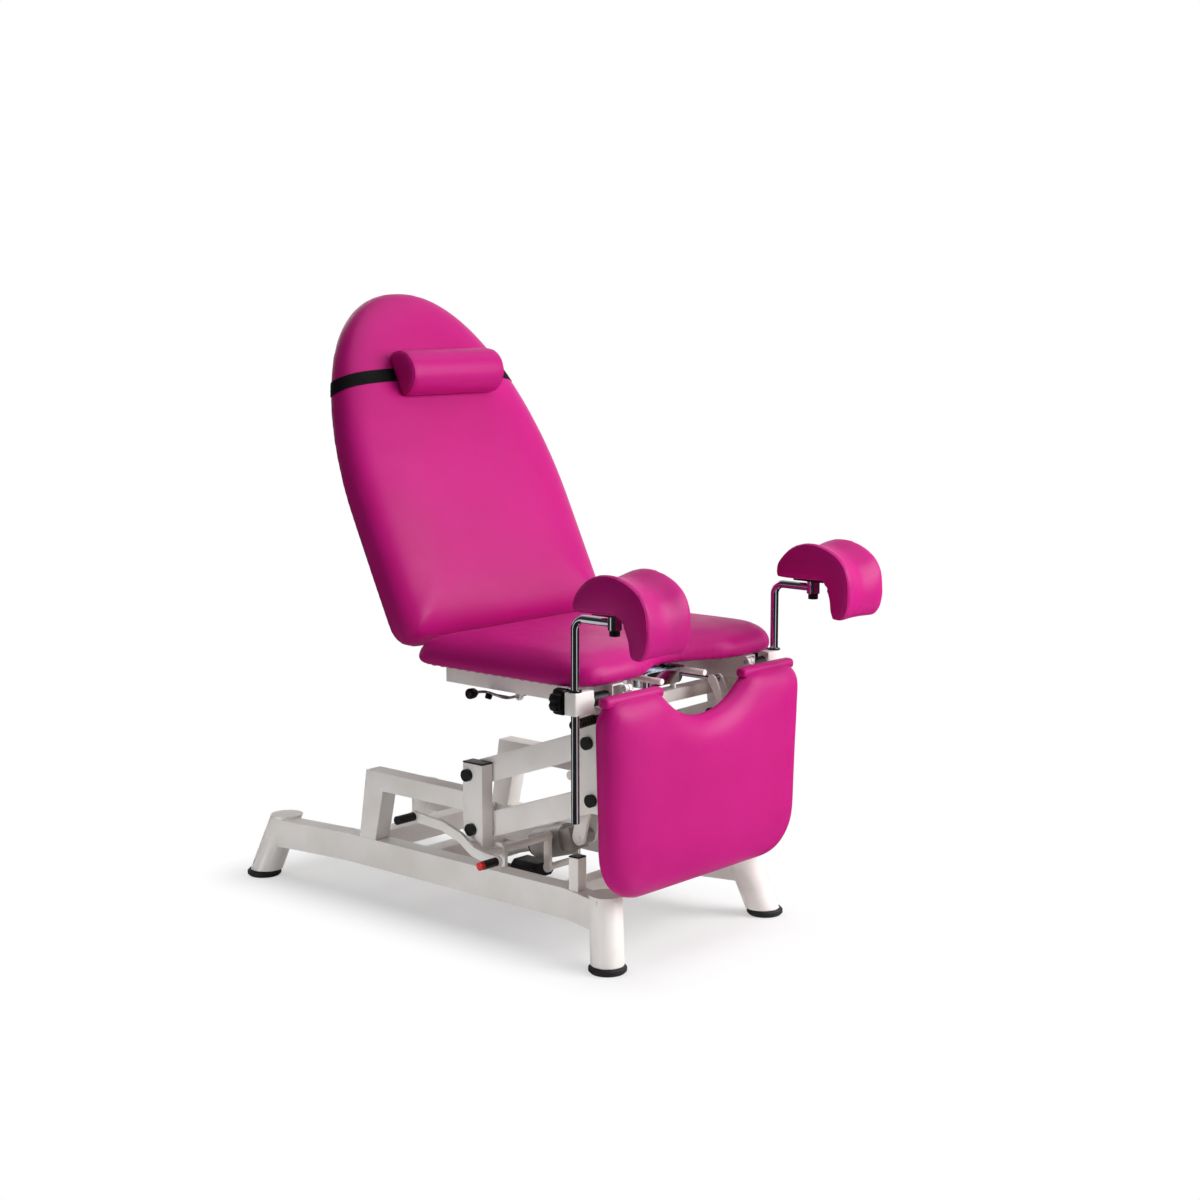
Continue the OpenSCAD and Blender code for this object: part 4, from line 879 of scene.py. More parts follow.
class GeometryTree:
    """A small Geometry Nodes tree built in the script, with named inputs."""

    def __init__(self, name: str, inputs: Sequence[tuple[str, str, object]]) -> None:
        """Makes the tree with a geometry input, the named ones, and a geometry output.

        Args:
            name: Name of the tree.
            inputs: Name, socket type and default value of each input.
        """
        self.tree = bpy.data.node_groups.new(name, "GeometryNodeTree")
        face = self.tree.interface
        face.new_socket(name="Geometry", in_out="INPUT", socket_type="NodeSocketGeometry")
        self.ids: dict[str, str] = {}
        for label, kind, value in inputs:
            socket = face.new_socket(name=label, in_out="INPUT", socket_type=kind)
            if value is not None:
                socket.default_value = value
            self.ids[label] = socket.identifier
        face.new_socket(name="Geometry", in_out="OUTPUT", socket_type="NodeSocketGeometry")
        self.start = add_node(self.tree, "NodeGroupInput")
        self.end = add_node(self.tree, "NodeGroupOutput")

    def close(self, geometry: Socket) -> None:
        """Ends the tree in Realize Instances and Set Material.

        Args:
            geometry: The geometry to hand out.
        """
        real = add_node(self.tree, "GeometryNodeRealizeInstances", {0: geometry})
        links = {"Geometry": real.outputs[0], "Material": self.start.outputs["Material"]}
        dressed = add_node(self.tree, "GeometryNodeSetMaterial", links)
        self.tree.links.new(dressed.outputs[0], self.end.inputs[0])

    def run(self, thing: Thing, values: dict[str, object]) -> Thing:
        """Applies the tree to an object.

        Args:
            thing: Object that gets the modifier, and then the plain mesh.
            values: Input name to value.

        Returns:
            The object with its made mesh.
        """
        modifier = thing.modifiers.new(self.tree.name, "NODES")
        modifier.node_group = self.tree
        for label, value in values.items():
            modifier[self.ids[label]] = value
        return baked(thing)


def path_mesh(name: str, loops: Iterable[Sequence[Vector]]) -> Thing:
    """Makes an edge-only mesh of closed paths, for a geometry tree to follow.

    Args:
        name: Name of the object.
        loops: The paths.

    Returns:
        The object.
    """
    bm = bmesh.new()
    for loop in loops:
        row = [bm.verts.new(p) for p in loop]
        for a, b in zip(row, row[1:] + row[:1]):
            bm.edges.new((a, b))
    return to_object(name, bm)


def laid_on(loops: Iterable[Sequence[Vector]], thing: Thing) -> list[list[Vector]]:
    """Moves paths onto a finished piece's skin, a little sunk in.

    Args:
        loops: The paths.
        thing: The piece.

    Returns:
        The moved paths.
    """
    bpy.context.view_layer.update()
    skin = BVHTree.FromObject(thing, bpy.context.evaluated_depsgraph_get())
    found = [[skin.find_nearest(p) for p in loop] for loop in loops]
    return [[Vector(spot) - Vector(normal) * WELT_SUNK for spot, normal, _, _ in row] for row in found]


def along_path(made: GeometryTree) -> tuple[Socket, Socket, Socket]:
    """Begins a tree with its path as a curve, and with spots along it at the tree's pitch.

    Args:
        made: The tree.

    Returns:
        The curve, the spots and their rotations.
    """
    curve = add_node(made.tree, "GeometryNodeMeshToCurve", {0: made.start.outputs["Geometry"]}).outputs[0]
    links = {0: curve, "Length": made.start.outputs["Pitch"]}
    spots = add_node(made.tree, "GeometryNodeCurveToPoints", links, mode="LENGTH").outputs
    return curve, spots[0], spots["Rotation"]


def welt_tree() -> GeometryTree:
    """Tree that lays a sewn welt along a path, with stitches beside it.

    Returns:
        The tree, with inputs for the welt's and the stitches' sizes.
    """
    made = GeometryTree("sewn_welt", [
        ("Material", "NodeSocketMaterial", None), ("Welt radius", "NodeSocketFloat", 0.0013),
        ("Pitch", "NodeSocketFloat", 0.005), ("Stitch length", "NodeSocketFloat", 0.0014),
        ("Stitch radius", "NodeSocketFloat", 0.0004)])
    tree, sizes = made.tree, made.start.outputs
    curve, spots, rotation = along_path(made)
    links = {"Resolution": 8, "Radius": sizes["Welt radius"]}
    ring = add_node(tree, "GeometryNodeCurvePrimitiveCircle", links)
    welt = add_node(tree, "GeometryNodeCurveToMesh", {0: curve, 1: ring.outputs[0]})
    thread = add_node(tree, "GeometryNodeMeshUVSphere", {"Segments": 8, "Rings": 5, "Radius": 1.0})
    links = {0: sizes["Stitch radius"], 1: sizes["Stitch radius"], 2: sizes["Stitch length"]}
    scale = add_node(tree, "ShaderNodeCombineXYZ", links).outputs[0]
    links = {"Points": spots, "Instance": thread.outputs[0], "Rotation": rotation, "Scale": scale}
    placed = add_node(tree, "GeometryNodeInstanceOnPoints", links)
    both = add_node(tree, "GeometryNodeJoinGeometry")
    for part in (placed, welt):
        tree.links.new(part.outputs[0], both.inputs[0])
    made.close(both.outputs[0])
    return made


def staple_tree() -> GeometryTree:
    """Tree that drives staples along a path.

    Returns:
        The tree, with inputs for the pitch and the staple's sizes.
    """
    made = GeometryTree("staple_row", [
        ("Material", "NodeSocketMaterial", None), ("Pitch", "NodeSocketFloat", 0.024),
        ("Crown", "NodeSocketFloat", 0.010), ("Wire", "NodeSocketFloat", 0.0012)])
    tree, sizes = made.tree, made.start.outputs
    _, spots, rotation = along_path(made)
    scale = add_node(tree, "ShaderNodeCombineXYZ", {0: sizes["Wire"], 1: sizes["Wire"], 2: sizes["Crown"]})
    wire = add_node(tree, "GeometryNodeMeshCube", {"Size": scale.outputs[0]})
    links = {"Points": spots, "Instance": wire.outputs[0], "Rotation": rotation}
    made.close(add_node(tree, "GeometryNodeInstanceOnPoints", links).outputs[0])
    return made


def welted(name: str, loops: Iterable[Sequence[Vector]], thing: Thing, body: str, welt: GeometryTree) -> None:
    """Sews welts onto a finished pad.

    Args:
        name: Name of the welts.
        loops: Where they run.
        thing: The pad, whose material they share.
        body: CAD body that they move with.
        welt: The welt tree.
    """
    seams = path_mesh(name, laid_on(loops, thing))
    welt.run(seams, {"Material": thing.data.materials[0]})
    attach(seams, body)


# Room, lamps and camera


@dataclass
class PhotoCamera:
    """The camera that took the photograph, solved from the chair's own parallels."""

    place: Point3 = (-3.0489, -2.8578, 1.2598)
    azimuth: float = -48.73
    pitch: float = 8.43
    lens: float = 61.36
    sensor: float = 36.0
    reach: float = 60.0

    def build(self) -> Thing:
        """Sets the camera.

        Returns:
            The camera object.
        """
        data = bpy.data.cameras.new("photo_camera")
        data.lens = self.lens
        data.sensor_width = self.sensor
        data.sensor_fit = "HORIZONTAL"
        data.clip_end = self.reach
        camera = bpy.data.objects.new("photo_camera", data)
        bpy.context.scene.collection.objects.link(camera)
        camera.location = self.place
        camera.rotation_euler = (math.radians(90 - self.pitch), 0, math.radians(self.azimuth))
        bpy.context.scene.camera = camera
        return camera


@dataclass(frozen=True)
class Lamp:
    """One soft lamp: where it hangs, what it faces, its watts, its width and height, and its grid's angle."""

    name: str
    place: Point3
    power: float
    width: float
    height: float
    target: Point3 = (0.0, 0.0, 0.6)
    spread: float = math.pi

    def build(self) -> None:
        """Hangs the lamp."""
        data = bpy.data.lights.new(self.name + "_softbox", "AREA")
        data.shape = "RECTANGLE"
        data.size = self.width
        data.size_y = self.height
        data.energy = self.power
        data.spread = self.spread
        thing = bpy.data.objects.new(self.name + "_softbox", data)
        thing.location = self.place
        away = Vector(self.target) - Vector(self.place)
        thing.rotation_euler = away.to_track_quat("-Z", "Y").to_euler()
        bpy.context.scene.collection.objects.link(thing)


@dataclass
class Studio:
    """White sweep with a painted reflection, a world with a painted dark reflection, and five soft lamps."""

    half: float = 27.0
    paper: str = "#f1f1f1"
    world: float = 0.155
    near_white: float = 0.40
    fade: Point2 = (-0.03, 0.19)
    foot_middle: Point3 = (0.0, 0.06, 0.0)
    foot_half: Point3 = (0.22, 0.50, 9.0)
    # Painted reflection of the floor: dark for glossy rays, with two strips of painted highlight for the
    # chrome
    mirrored: float = 0.02
    strip_light: float = 0.85
    strip_edge: Point2 = (0.978, 0.992)
    strips: tuple[Point3, ...] = ((-0.14, -0.99, 0.0), (-0.91, 0.42, 0.0))
    # Painted dark reflection: glossy rays see the world dark on the camera's side, which darkens the chrome
    flag_side: Point3 = (-0.74, -0.65, 0.15)
    flag: tuple[float, ...] = (-0.75, 0.0, 0.8, 0.04)
    # The photograph's key hangs before the chair, on the patient's left; its other side falls dark.
    # A gridded lamp near the floor stands for the bright sweep's bounce on the base.
    lamps: tuple[Lamp, ...] = (
        Lamp("key", (1.55, -2.75, 1.9), 126.0, 2.2, 2.2),
        Lamp("fill", (-4.4, -2.0, 1.6), 2.5, 2.6, 2.6),
        Lamp("top", (0.6, -0.6, 4.2), 72.0, 3.6, 3.6),
        Lamp("rear", (1.2, 4.2, 2.8), 22.0, 2.0, 2.0),
        Lamp("low", (-2.7, 0.35, 0.28), 1.15, 2.0, 0.3, (-0.2, 0.05, 0.12), 0.38))

    def build(self) -> None:
        """Makes the floor, the world and the lamps."""
        self.floor()
        self.sky()
        for lamp in self.lamps:
            lamp.build()

    def floor(self) -> None:
        """Makes the pale floor as one flat sheet, and marks it as stage."""
        bm = bmesh.new()
        corners = [(-1, -1), (1, -1), (1, 1), (-1, 1)]
        bm.faces.new([bm.verts.new((x * self.half, y * self.half, 0.0)) for x, y in corners])
        sheet = to_object("studio_floor", bm, smooth=False)
        material = bpy.data.materials.new("white_paper_sweep")
        tree = cleared(material)
        paper = add_node(tree, "ShaderNodeBsdfDiffuse", {"Color": linear(self.paper)})
        glossy = add_node(tree, "ShaderNodeLightPath").outputs["Is Glossy Ray"]
        place = add_node(tree, "ShaderNodeTexCoord").outputs["Object"]
        # Painted reflection: glossy rays see the floor dark, with two painted highlight strips
        level = add_node(tree, "ShaderNodeMix", {0: glossy, 2: 1.0, 3: self.mirrored_strips(tree, place)})
        white = add_node(tree, "ShaderNodeEmission", {"Color": WHITE, "Strength": level.outputs[0]})
        # How far a point lies outside the chair's footprint; the shadow stays inside that reach
        place = vector(tree, "SUBTRACT", place, self.foot_middle).outputs[0]
        place = vector(tree, "ABSOLUTE", place).outputs[0]
        place = vector(tree, "SUBTRACT", place, self.foot_half).outputs[0]
        place = vector(tree, "MAXIMUM", place, (0.0, 0.0, 0.0)).outputs[0]
        away = vector(tree, "LENGTH", place).outputs["Value"]
        share = spread_out(tree, away, (*self.fade, self.near_white, 1.0), "SMOOTHSTEP")
        shown = number(tree, "MULTIPLY", share, self.seen(tree))
        mixed = add_node(tree, "ShaderNodeMixShader", {0: shown, 1: paper.outputs[0], 2: white.outputs[0]})
        add_node(tree, "ShaderNodeOutputMaterial", {0: mixed.outputs[0]})
        sheet.data.materials.append(material)
        sheet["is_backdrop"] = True

    def mirrored_strips(self, tree: Tree, place: Socket) -> Socket:
        """Paints the floor as glossy rays see it: dark, with two white strips, a painted reflection that
        gives the chrome its thin painted highlights.

        Args:
            tree: The floor's node tree.
            place: Point of the floor.

        Returns:
            The floor's painted reflection, as glossy rays see it.
        """
        way = vector(tree, "NORMALIZE", place).outputs[0]
        span = (*self.strip_edge, self.mirrored, self.strip_light)
        turns = [vector(tree, "DOT_PRODUCT", way, side).outputs["Value"] for side in self.strips]
        first, second = (spread_out(tree, turn, span) for turn in turns)
        return number(tree, "MAXIMUM", second, first)

    @staticmethod
    def seen(tree: Tree) -> Socket:
        """Tells whether a ray is one that shows the background.

        Args:
            tree: Node tree that gets the nodes.

        Returns:
            1 for camera, glossy and transmission rays.
        """
        ray = add_node(tree, "ShaderNodeLightPath").outputs
        first = number(tree, "MAXIMUM", ray["Is Camera Ray"], ray["Is Glossy Ray"])
        return number(tree, "MAXIMUM", first, ray["Is Transmission Ray"])

    def sky(self) -> None:
        """Makes a world that is white to the eye, soft on the chair, and a painted dark reflection for glossy
        rays.
        """
        world = bpy.data.worlds.new("white_studio")
        bpy.context.scene.world = world
        tree = cleared(world)
        glossy = add_node(tree, "ShaderNodeLightPath").outputs["Is Glossy Ray"]
        way = add_node(tree, "ShaderNodeTexCoord").outputs["Generated"]
        # Painted reflection: the world is dark for glossy rays that look towards the camera's side
        turn = vector(tree, "DOT_PRODUCT", way, self.flag_side).outputs["Value"]
        flag = spread_out(tree, turn, self.flag, "SMOOTHSTEP")
        level = add_node(tree, "ShaderNodeMix", {0: glossy, 2: 1.0, 3: flag})
        soft = add_node(tree, "ShaderNodeBackground", {"Color": WHITE, "Strength": self.world})
        white = add_node(tree, "ShaderNodeBackground", {"Color": WHITE, "Strength": level.outputs[0]})
        shades = {0: self.seen(tree), 1: soft.outputs[0], 2: white.outputs[0]}
        mixed = add_node(tree, "ShaderNodeMixShader", shades)
        add_node(tree, "ShaderNodeOutputWorld", {0: mixed.outputs[0]})


# Upholstery, crutches and steel

@dataclass
class Pad:
    """A foam pad on a board, wrapped in vinyl: its outline, its thickness and how it lies."""

    name: str
    outline: list[Point2]
    thickness: float
    place: Place
    middle: Point2
    body: str
    replaces: tuple[str, ...]
    roll: float = 0.052
    fullness: float = 2.3
    crown: float = 0.008
    swell: float = 0.004
    voxel: float = 0.008
    count: int = 150
    foot_shares: tuple[Point2, ...] = (
        (0.0, 1.6), (0.0, 0.9), (0.03, 0.5), (0.09, 0.22), (0.18, 0.06), (0.28, 0.0))
    foot: float = 0.012
    rim_depths: tuple[float, ...] = (0.0004, 0.0016, 0.0035, 0.006, 0.0095, 0.014, 0.020)
    crown_shares: tuple[float, ...] = (0.965, 0.925, 0.88, 0.83, 0.77, 0.70, 0.61, 0.51, 0.40, 0.28, 0.15)

    def height(self, depth: float) -> float:
        """Height of the cover above the board, at a distance from the pad's outline.

        Args:
            depth: The distance from the outline.

        Returns:
            The height.
        """
        start = self.foot_shares[-1][0] * self.thickness
        top = self.thickness - self.swell
        t = 1 - min(depth / self.roll, 1.0)
        p = self.fullness
        far = min(depth / (3 * self.roll), 1.0)
        return start + (top - start) * (1 - t ** p) ** (1 / p) + self.crown * far * (2 - far)

    def rings(self) -> list[list[Vector]]:
        """Builds the pad's rings from its foot to its crown.

        Returns:
            Rings of points in the row frame.
        """
        flat = relax(resample(self.outline, self.count), 2)
        out = []
        for rise, share in self.foot_shares:
            out.append([self.place(u, v, self.thickness * rise) for u, v in inset(flat, self.foot * share)])
        for depth in self.rim_depths:
            out.append([self.place(u, v, self.height(depth)) for u, v in inset(flat, depth)])
        rim = inset(flat, self.rim_depths[-1])
        cu, cv = self.middle
        for share in self.crown_shares:
            loop = [(cu + share * (u - cu), cv + share * (v - cv)) for u, v in rim]
            out.append([self.place(u, v, self.height(nearest(flat, (u, v)))) for u, v in loop])
        return out

    def build(self, vinyl: Material) -> Thing:
        """Makes, swells and dresses the pad.

        Args:
            vinyl: Its cover.

        Returns:
            The finished piece.
        """
        thing = loft(self.name, self.rings())
        foot = self.place(0.0, 0.0, 0.0)
        out = (self.place(0.0, 0.0, 1.0) - foot).normalized()
        held = 0.25 * self.thickness
        thing = puffed(thing, self.voxel, self.swell, lambda p: (p - foot).dot(out) < held)
        ways = (self.place(1.0, 0.0, 0.0) - foot, self.place(0.0, 1.0, 0.0) - foot)
        stretched(thing, foot, ways, [(min(row), max(row)) for row in zip(*self.outline)])
        wear_on(thing, vinyl, self.body, self.replaces)
        return thing or thing

    def staples(self, steel: Material, tree: GeometryTree, depth: float) -> Thing:
        """Drives the row of staples that holds the cover to its board.

        Args:
            steel: Wire of the staples.
            tree: The staple tree.
            depth: How far inside the outline the row runs.

        Returns:
            The row.
        """
        loop = inset(relax(resample(self.outline, self.count), 2), depth)
        row = path_mesh(self.name + "_staples", [[self.place(u, v, -0.0003) for u, v in loop]])
        tree.run(row, {"Material": steel})
        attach(row, self.body)
        return row


@dataclass
class Upholstery:
    """Seat, back and leg cushions, in the frame's metres."""

    half: float = 0.310
    leg_half: float = 0.300
    seat_low: float = 0.545
    seat_t: float = 0.055
    seat_back: float = 0.039
    seat_front: float = -0.411
    back_hinge: tuple[float, float] = (0.061, 0.561)
    back_tilt: float = 25.9
    back_low: float = 0.015
    back_length: float = 0.771
    back_t: float = 0.070
    back_n: float = -0.0315
    back_half: float = 0.304
    leg_top: float = 0.528
    leg_length: float = 0.390
    leg_y: float = -0.427
    leg_t: float = 0.049
    band_span: Point2 = (0.122, 0.292)
    band_sizes: tuple[Point2, ...] = (
        (0.0, 0.30), (0.004, 0.62), (0.018, 0.86), (0.045, 0.97), (0.1, 1.0), (0.3, 1.0), (0.5, 1.0),
        (0.7, 1.0), (0.9, 1.0), (0.955, 0.97), (0.982, 0.86), (0.996, 0.62), (1.0, 0.30))

    def back_place(self, u: float, v: float, n: float) -> Vector:
        """Point on the back: across, along it from its hinge, and out of its face."""
        lean = math.radians(90 - self.back_tilt)
        return Vector((u, self.back_hinge[0] + v * math.cos(lean) - n * math.sin(lean),
                       self.back_hinge[1] + v * math.sin(lean) + n * math.cos(lean)))

    def seat_outline(self) -> list[Point2]:
        """Seat with round front corners and a wide shallow cut at its front edge."""
        front, back = self.seat_front, self.seat_back + 0.004
        r, q, cut, depth = 0.070, 0.034, 0.155, 0.060
        bay = [(cut * s, front + depth * (1 + math.cos(math.pi * s)) / 2)
               for s in (k / 12 for k in range(-12, 13))]
        return (arc((-self.half + r, front + r), r, 180, 270, 10) + bay
                + arc((self.half - r, front + r), r, 270, 360, 10)
                + arc((self.half - q, back - q), q, 0, 90, 7)
                + arc((-self.half + q, back - q), q, 90, 180, 7))

    def back_outline(self) -> list[Point2]:
        """Egg shape of the back, square at its foot."""
        r, around, power = 0.040, 0.500, 0.94
        start = self.back_low + self.back_length - around
        egg = []
        for i in range(61):
            a = math.pi * i / 60
            c = math.cos(a)
            egg.append((math.copysign(self.back_half * abs(c) ** power, c), start + around * math.sin(a)))
        return (arc((-self.back_half + r, self.back_low + r), r, 180, 270, 7)
                + arc((self.back_half - r, self.back_low + r), r, 270, 360, 7) + egg)

    def leg_outline(self) -> list[Point2]:
        """Leg panel with its notch, and a narrower foot."""
        half, top, low = self.leg_half, self.leg_top, self.leg_top - self.leg_length
        r, q, taper = 0.048, 0.100, 0.008
        lip, notch, lip_r, notch_r = (0.150, top - 0.030), (0.0, top + 0.104), 0.030, 0.170
        gap = math.dist(lip, notch)
        turn = math.degrees(math.asin((lip_r + notch_r) / gap) - math.atan2(notch[1] - lip[1], lip[0]))
        return (arc((-half + q + taper, low + q), q, 180, 270, 10)
                + arc((half - q - taper, low + q), q, 270, 360, 10)
                + arc((half - r, top - r), r, 0, 90, 9) + arc(lip, lip_r, 90, 90 + turn, 5)
                + arc(notch, notch_r, 270 + turn, 270 - turn, 14)
                + arc((-lip[0], lip[1]), lip_r, 90 - turn, 90, 5)
                + arc((-half + r, top - r), r, 90, 180, 9))

    def pads(self) -> list[Pad]:
        """The three big pads."""
        seat = Pad("seat_pad", self.seat_outline(), self.seat_t,
                   lambda u, v, n: Vector((u, v, self.seat_low + n)),
                   (0.0, -0.165), "carriage", ("seat_cushion",), roll=0.055, crown=0.012)
        back = Pad("back_pad", self.back_outline(), self.back_t,
                   lambda u, v, n: self.back_place(u, v, n + self.back_n),
                   (0.0, self.back_low + 0.42 * self.back_length), "backrest", ("back_cushion",),
                   roll=0.062, crown=0.007)
        leg = Pad("leg_pad", self.leg_outline(), self.leg_t,
                  lambda u, v, n: Vector((u, self.leg_y - n, v)),
                  (0.0, self.leg_top - 0.22), "leg_panel", ("leg_cushion",),
                  roll=0.050, crown=0.006, voxel=0.007, count=200)
        return [seat, back, leg]

    def band(self, side: Side, vinyl: Material) -> None:
        """Makes the padded band along the leg panel's top, on one side of its notch.

        Args:
            side: Which side of the notch.
            vinyl: Its cover.
        """
        low, high = self.leg_top - 0.016, self.leg_top + 0.007
        start, end = self.band_span
        front, back = self.leg_y - 0.0285, self.leg_y - 0.001
        middle, deep, tall = (back + front) / 2, (back - front) / 2, (high - low) / 2
        section = [tuple(math.copysign(abs(a) ** 0.62, a) for a in spot) for spot in circle(40)]
        rings = []
        for share, size in self.band_sizes:
            x = side.value * (start + (end - start) * share)
            rings.append([Vector((x, middle + size * c * deep, (low + high) / 2 + size * s * tall))
                          for c, s in section])
        band = puffed(loft(f"leg_band_{side.word}", rings), 0.004, 0.0015, lambda p: p.y > back - 0.004)
        wear_on(band, vinyl, "leg_panel")

    def build(self, finishes: dict[str, Material], staples: GeometryTree) -> None:
        """Makes the pads and their staples.

        Args:
            finishes: Materials by slot.
            staples: The staple tree.
        """
        for pad in self.pads():
            pad.build(finishes["vinyl"])
            pad.staples(finishes["steel"], staples, 0.016)
        for side in Side:
            self.band(side, finishes["vinyl"])


def spline_loop(points: Sequence[tuple], per: int) -> list[tuple]:
    """Rounds a closed list of points of any size into a Catmull-Rom curve.

    Args:
        points: Control points.
        per: Points for each span.

    Returns:
        The curve's points.
    """
    n = len(points)
    out = []
    for i in range(n):
        a, b, c, d = (points[(i + k) % n] for k in (-1, 0, 1, 2))
        for step in range(per):
            t = step / per
            out.append(tuple(
                0.5 * (2 * q + (r - p) * t + (2 * p - 5 * q + 4 * r - s) * t * t
                       + (3 * q - p - 3 * r + s) * t ** 3)
                for p, q, r, s in zip(a, b, c, d)))
    return out


@dataclass
class HeadPillow:
    """Half-round head pillow on its elastic strap."""

    upholstery: Upholstery
    centre_u: float = 0.008
    centre_v: float = 0.575
    face_n: float = 0.0450
    length: float = 0.274
    height: float = 0.106
    depth: float = 0.062
    strap_v: float = 0.578
    strap_width: float = 0.029
    strap_t: float = 0.0015
    strap_gap: float = 0.0006
    strap_count: int = 160
    # The strap's rays start outside the back, at a multiple of this ellipse, and run to its middle
    strap_ellipse: Point2 = (0.30, 0.06)
    strap_start: float = 2.5

    def section(self, shrink: float) -> list[Point2]:
        """Half-moon section, flat where it lies on the back.

        Args:
            shrink: How far it is drawn in.

        Returns:
            Pairs of height along the back and distance out of it.
        """
        half = self.height / 2 - shrink
        out = []
        for c, s in circle(64):
            up = (self.depth - shrink) * s ** 0.8 if s > 0 else -0.006 * abs(s) ** 0.5
            out.append((half * c, max(up, 0.0) + (shrink * 0.3 if s > 0 else 0.0)))
        return relax(resample(out, 64), 2)

    def ring(self, x: float, shrink: float) -> list[Vector]:
        """One ring round the pillow.

        Args:
            x: Distance from its right end.
            shrink: How far the ring is drawn in.

        Returns:
            The ring's points.
        """
        u = self.centre_u - self.length / 2 + x
        return [self.upholstery.back_place(u, self.centre_v + v, self.face_n + n)
                for v, n in self.section(shrink)]

    def build(self, finishes: dict[str, Material], welt: GeometryTree) -> None:
        """Makes the pillow and its end welts.

        Args:
            finishes: Materials by slot.
            welt: The welt tree.
        """
        ends = ((0.0, 0.012), (0.0015, 0.006), (0.005, 0.0025), (0.012, 0.001))
        spots = [*ends] + [(self.length * k / 12, 0.0) for k in range(1, 12)]
        spots += [(self.length - x, d) for x, d in reversed(ends)]
        thing = loft("head_roll", [self.ring(x, d + 0.003) for x, d in spots])
        place = self.upholstery.back_place
        out = (place(0, 0, 1) - place(0, 0, 0)).normalized()
        foot = place(self.centre_u, self.centre_v, self.face_n)
        thing = puffed(thing, 0.005, 0.004, lambda p: (p - foot).dot(out) < 0.006)
        wear_on(thing, finishes["vinyl"], "pillow", ("head_pillow",))
        loops = [self.ring(x, 0.0005) for x in (0.004, self.length - 0.004)]
        welted("head_roll_welts", loops, thing, "pillow", welt)

    def strap(self, finishes: dict[str, Material], pad: Thing) -> None:
        """Wraps the elastic strap round the finished back.

        Args:
            finishes: Materials by slot.
            pad: The back pad.
        """
        bpy.context.view_layer.update()
        tree = BVHTree.FromObject(pad, bpy.context.evaluated_depsgraph_get())
        middle_n = self.upholstery.back_n + self.upholstery.back_t / 2
        rows: list[list[tuple[Vector, Vector]]] = []
        for v in (self.strap_v - self.strap_width / 2, self.strap_v, self.strap_v + self.strap_width / 2):
            centre = self.upholstery.back_place(0.0, v, middle_n)
            across, deep = self.strap_ellipse
            row = []
            for c, s in circle(self.strap_count):
                away = self.upholstery.back_place(across * c, v, middle_n + deep * s) - centre
                hit = tree.ray_cast(centre + away * self.strap_start, -away.normalized())
                row.append((hit[0] or centre + away, away.normalized()))
            rows.append(row)
        bm = bmesh.new()
        rings = []
        for inner in zip(*rows):
            corner = [bm.verts.new(p + out * self.strap_gap) for p, out in inner]
            corner += [bm.verts.new(p + out * (self.strap_gap + self.strap_t)) for p, out in reversed(inner)]
            rings.append(corner)
        for a, b in zip(rings, rings[1:] + rings[:1]):
            for i in range(len(a)):
                j = (i + 1) % len(a)
                bm.faces.new((a[i], a[j], b[j], b[i]))
        bmesh.ops.recalc_face_normals(bm, faces=bm.faces)
        thing = to_object("head_roll_strap", bm)
        sharpen(thing, 50)
        wear_on(thing, finishes["elastic"], "pillow", ("pillow_strap",))


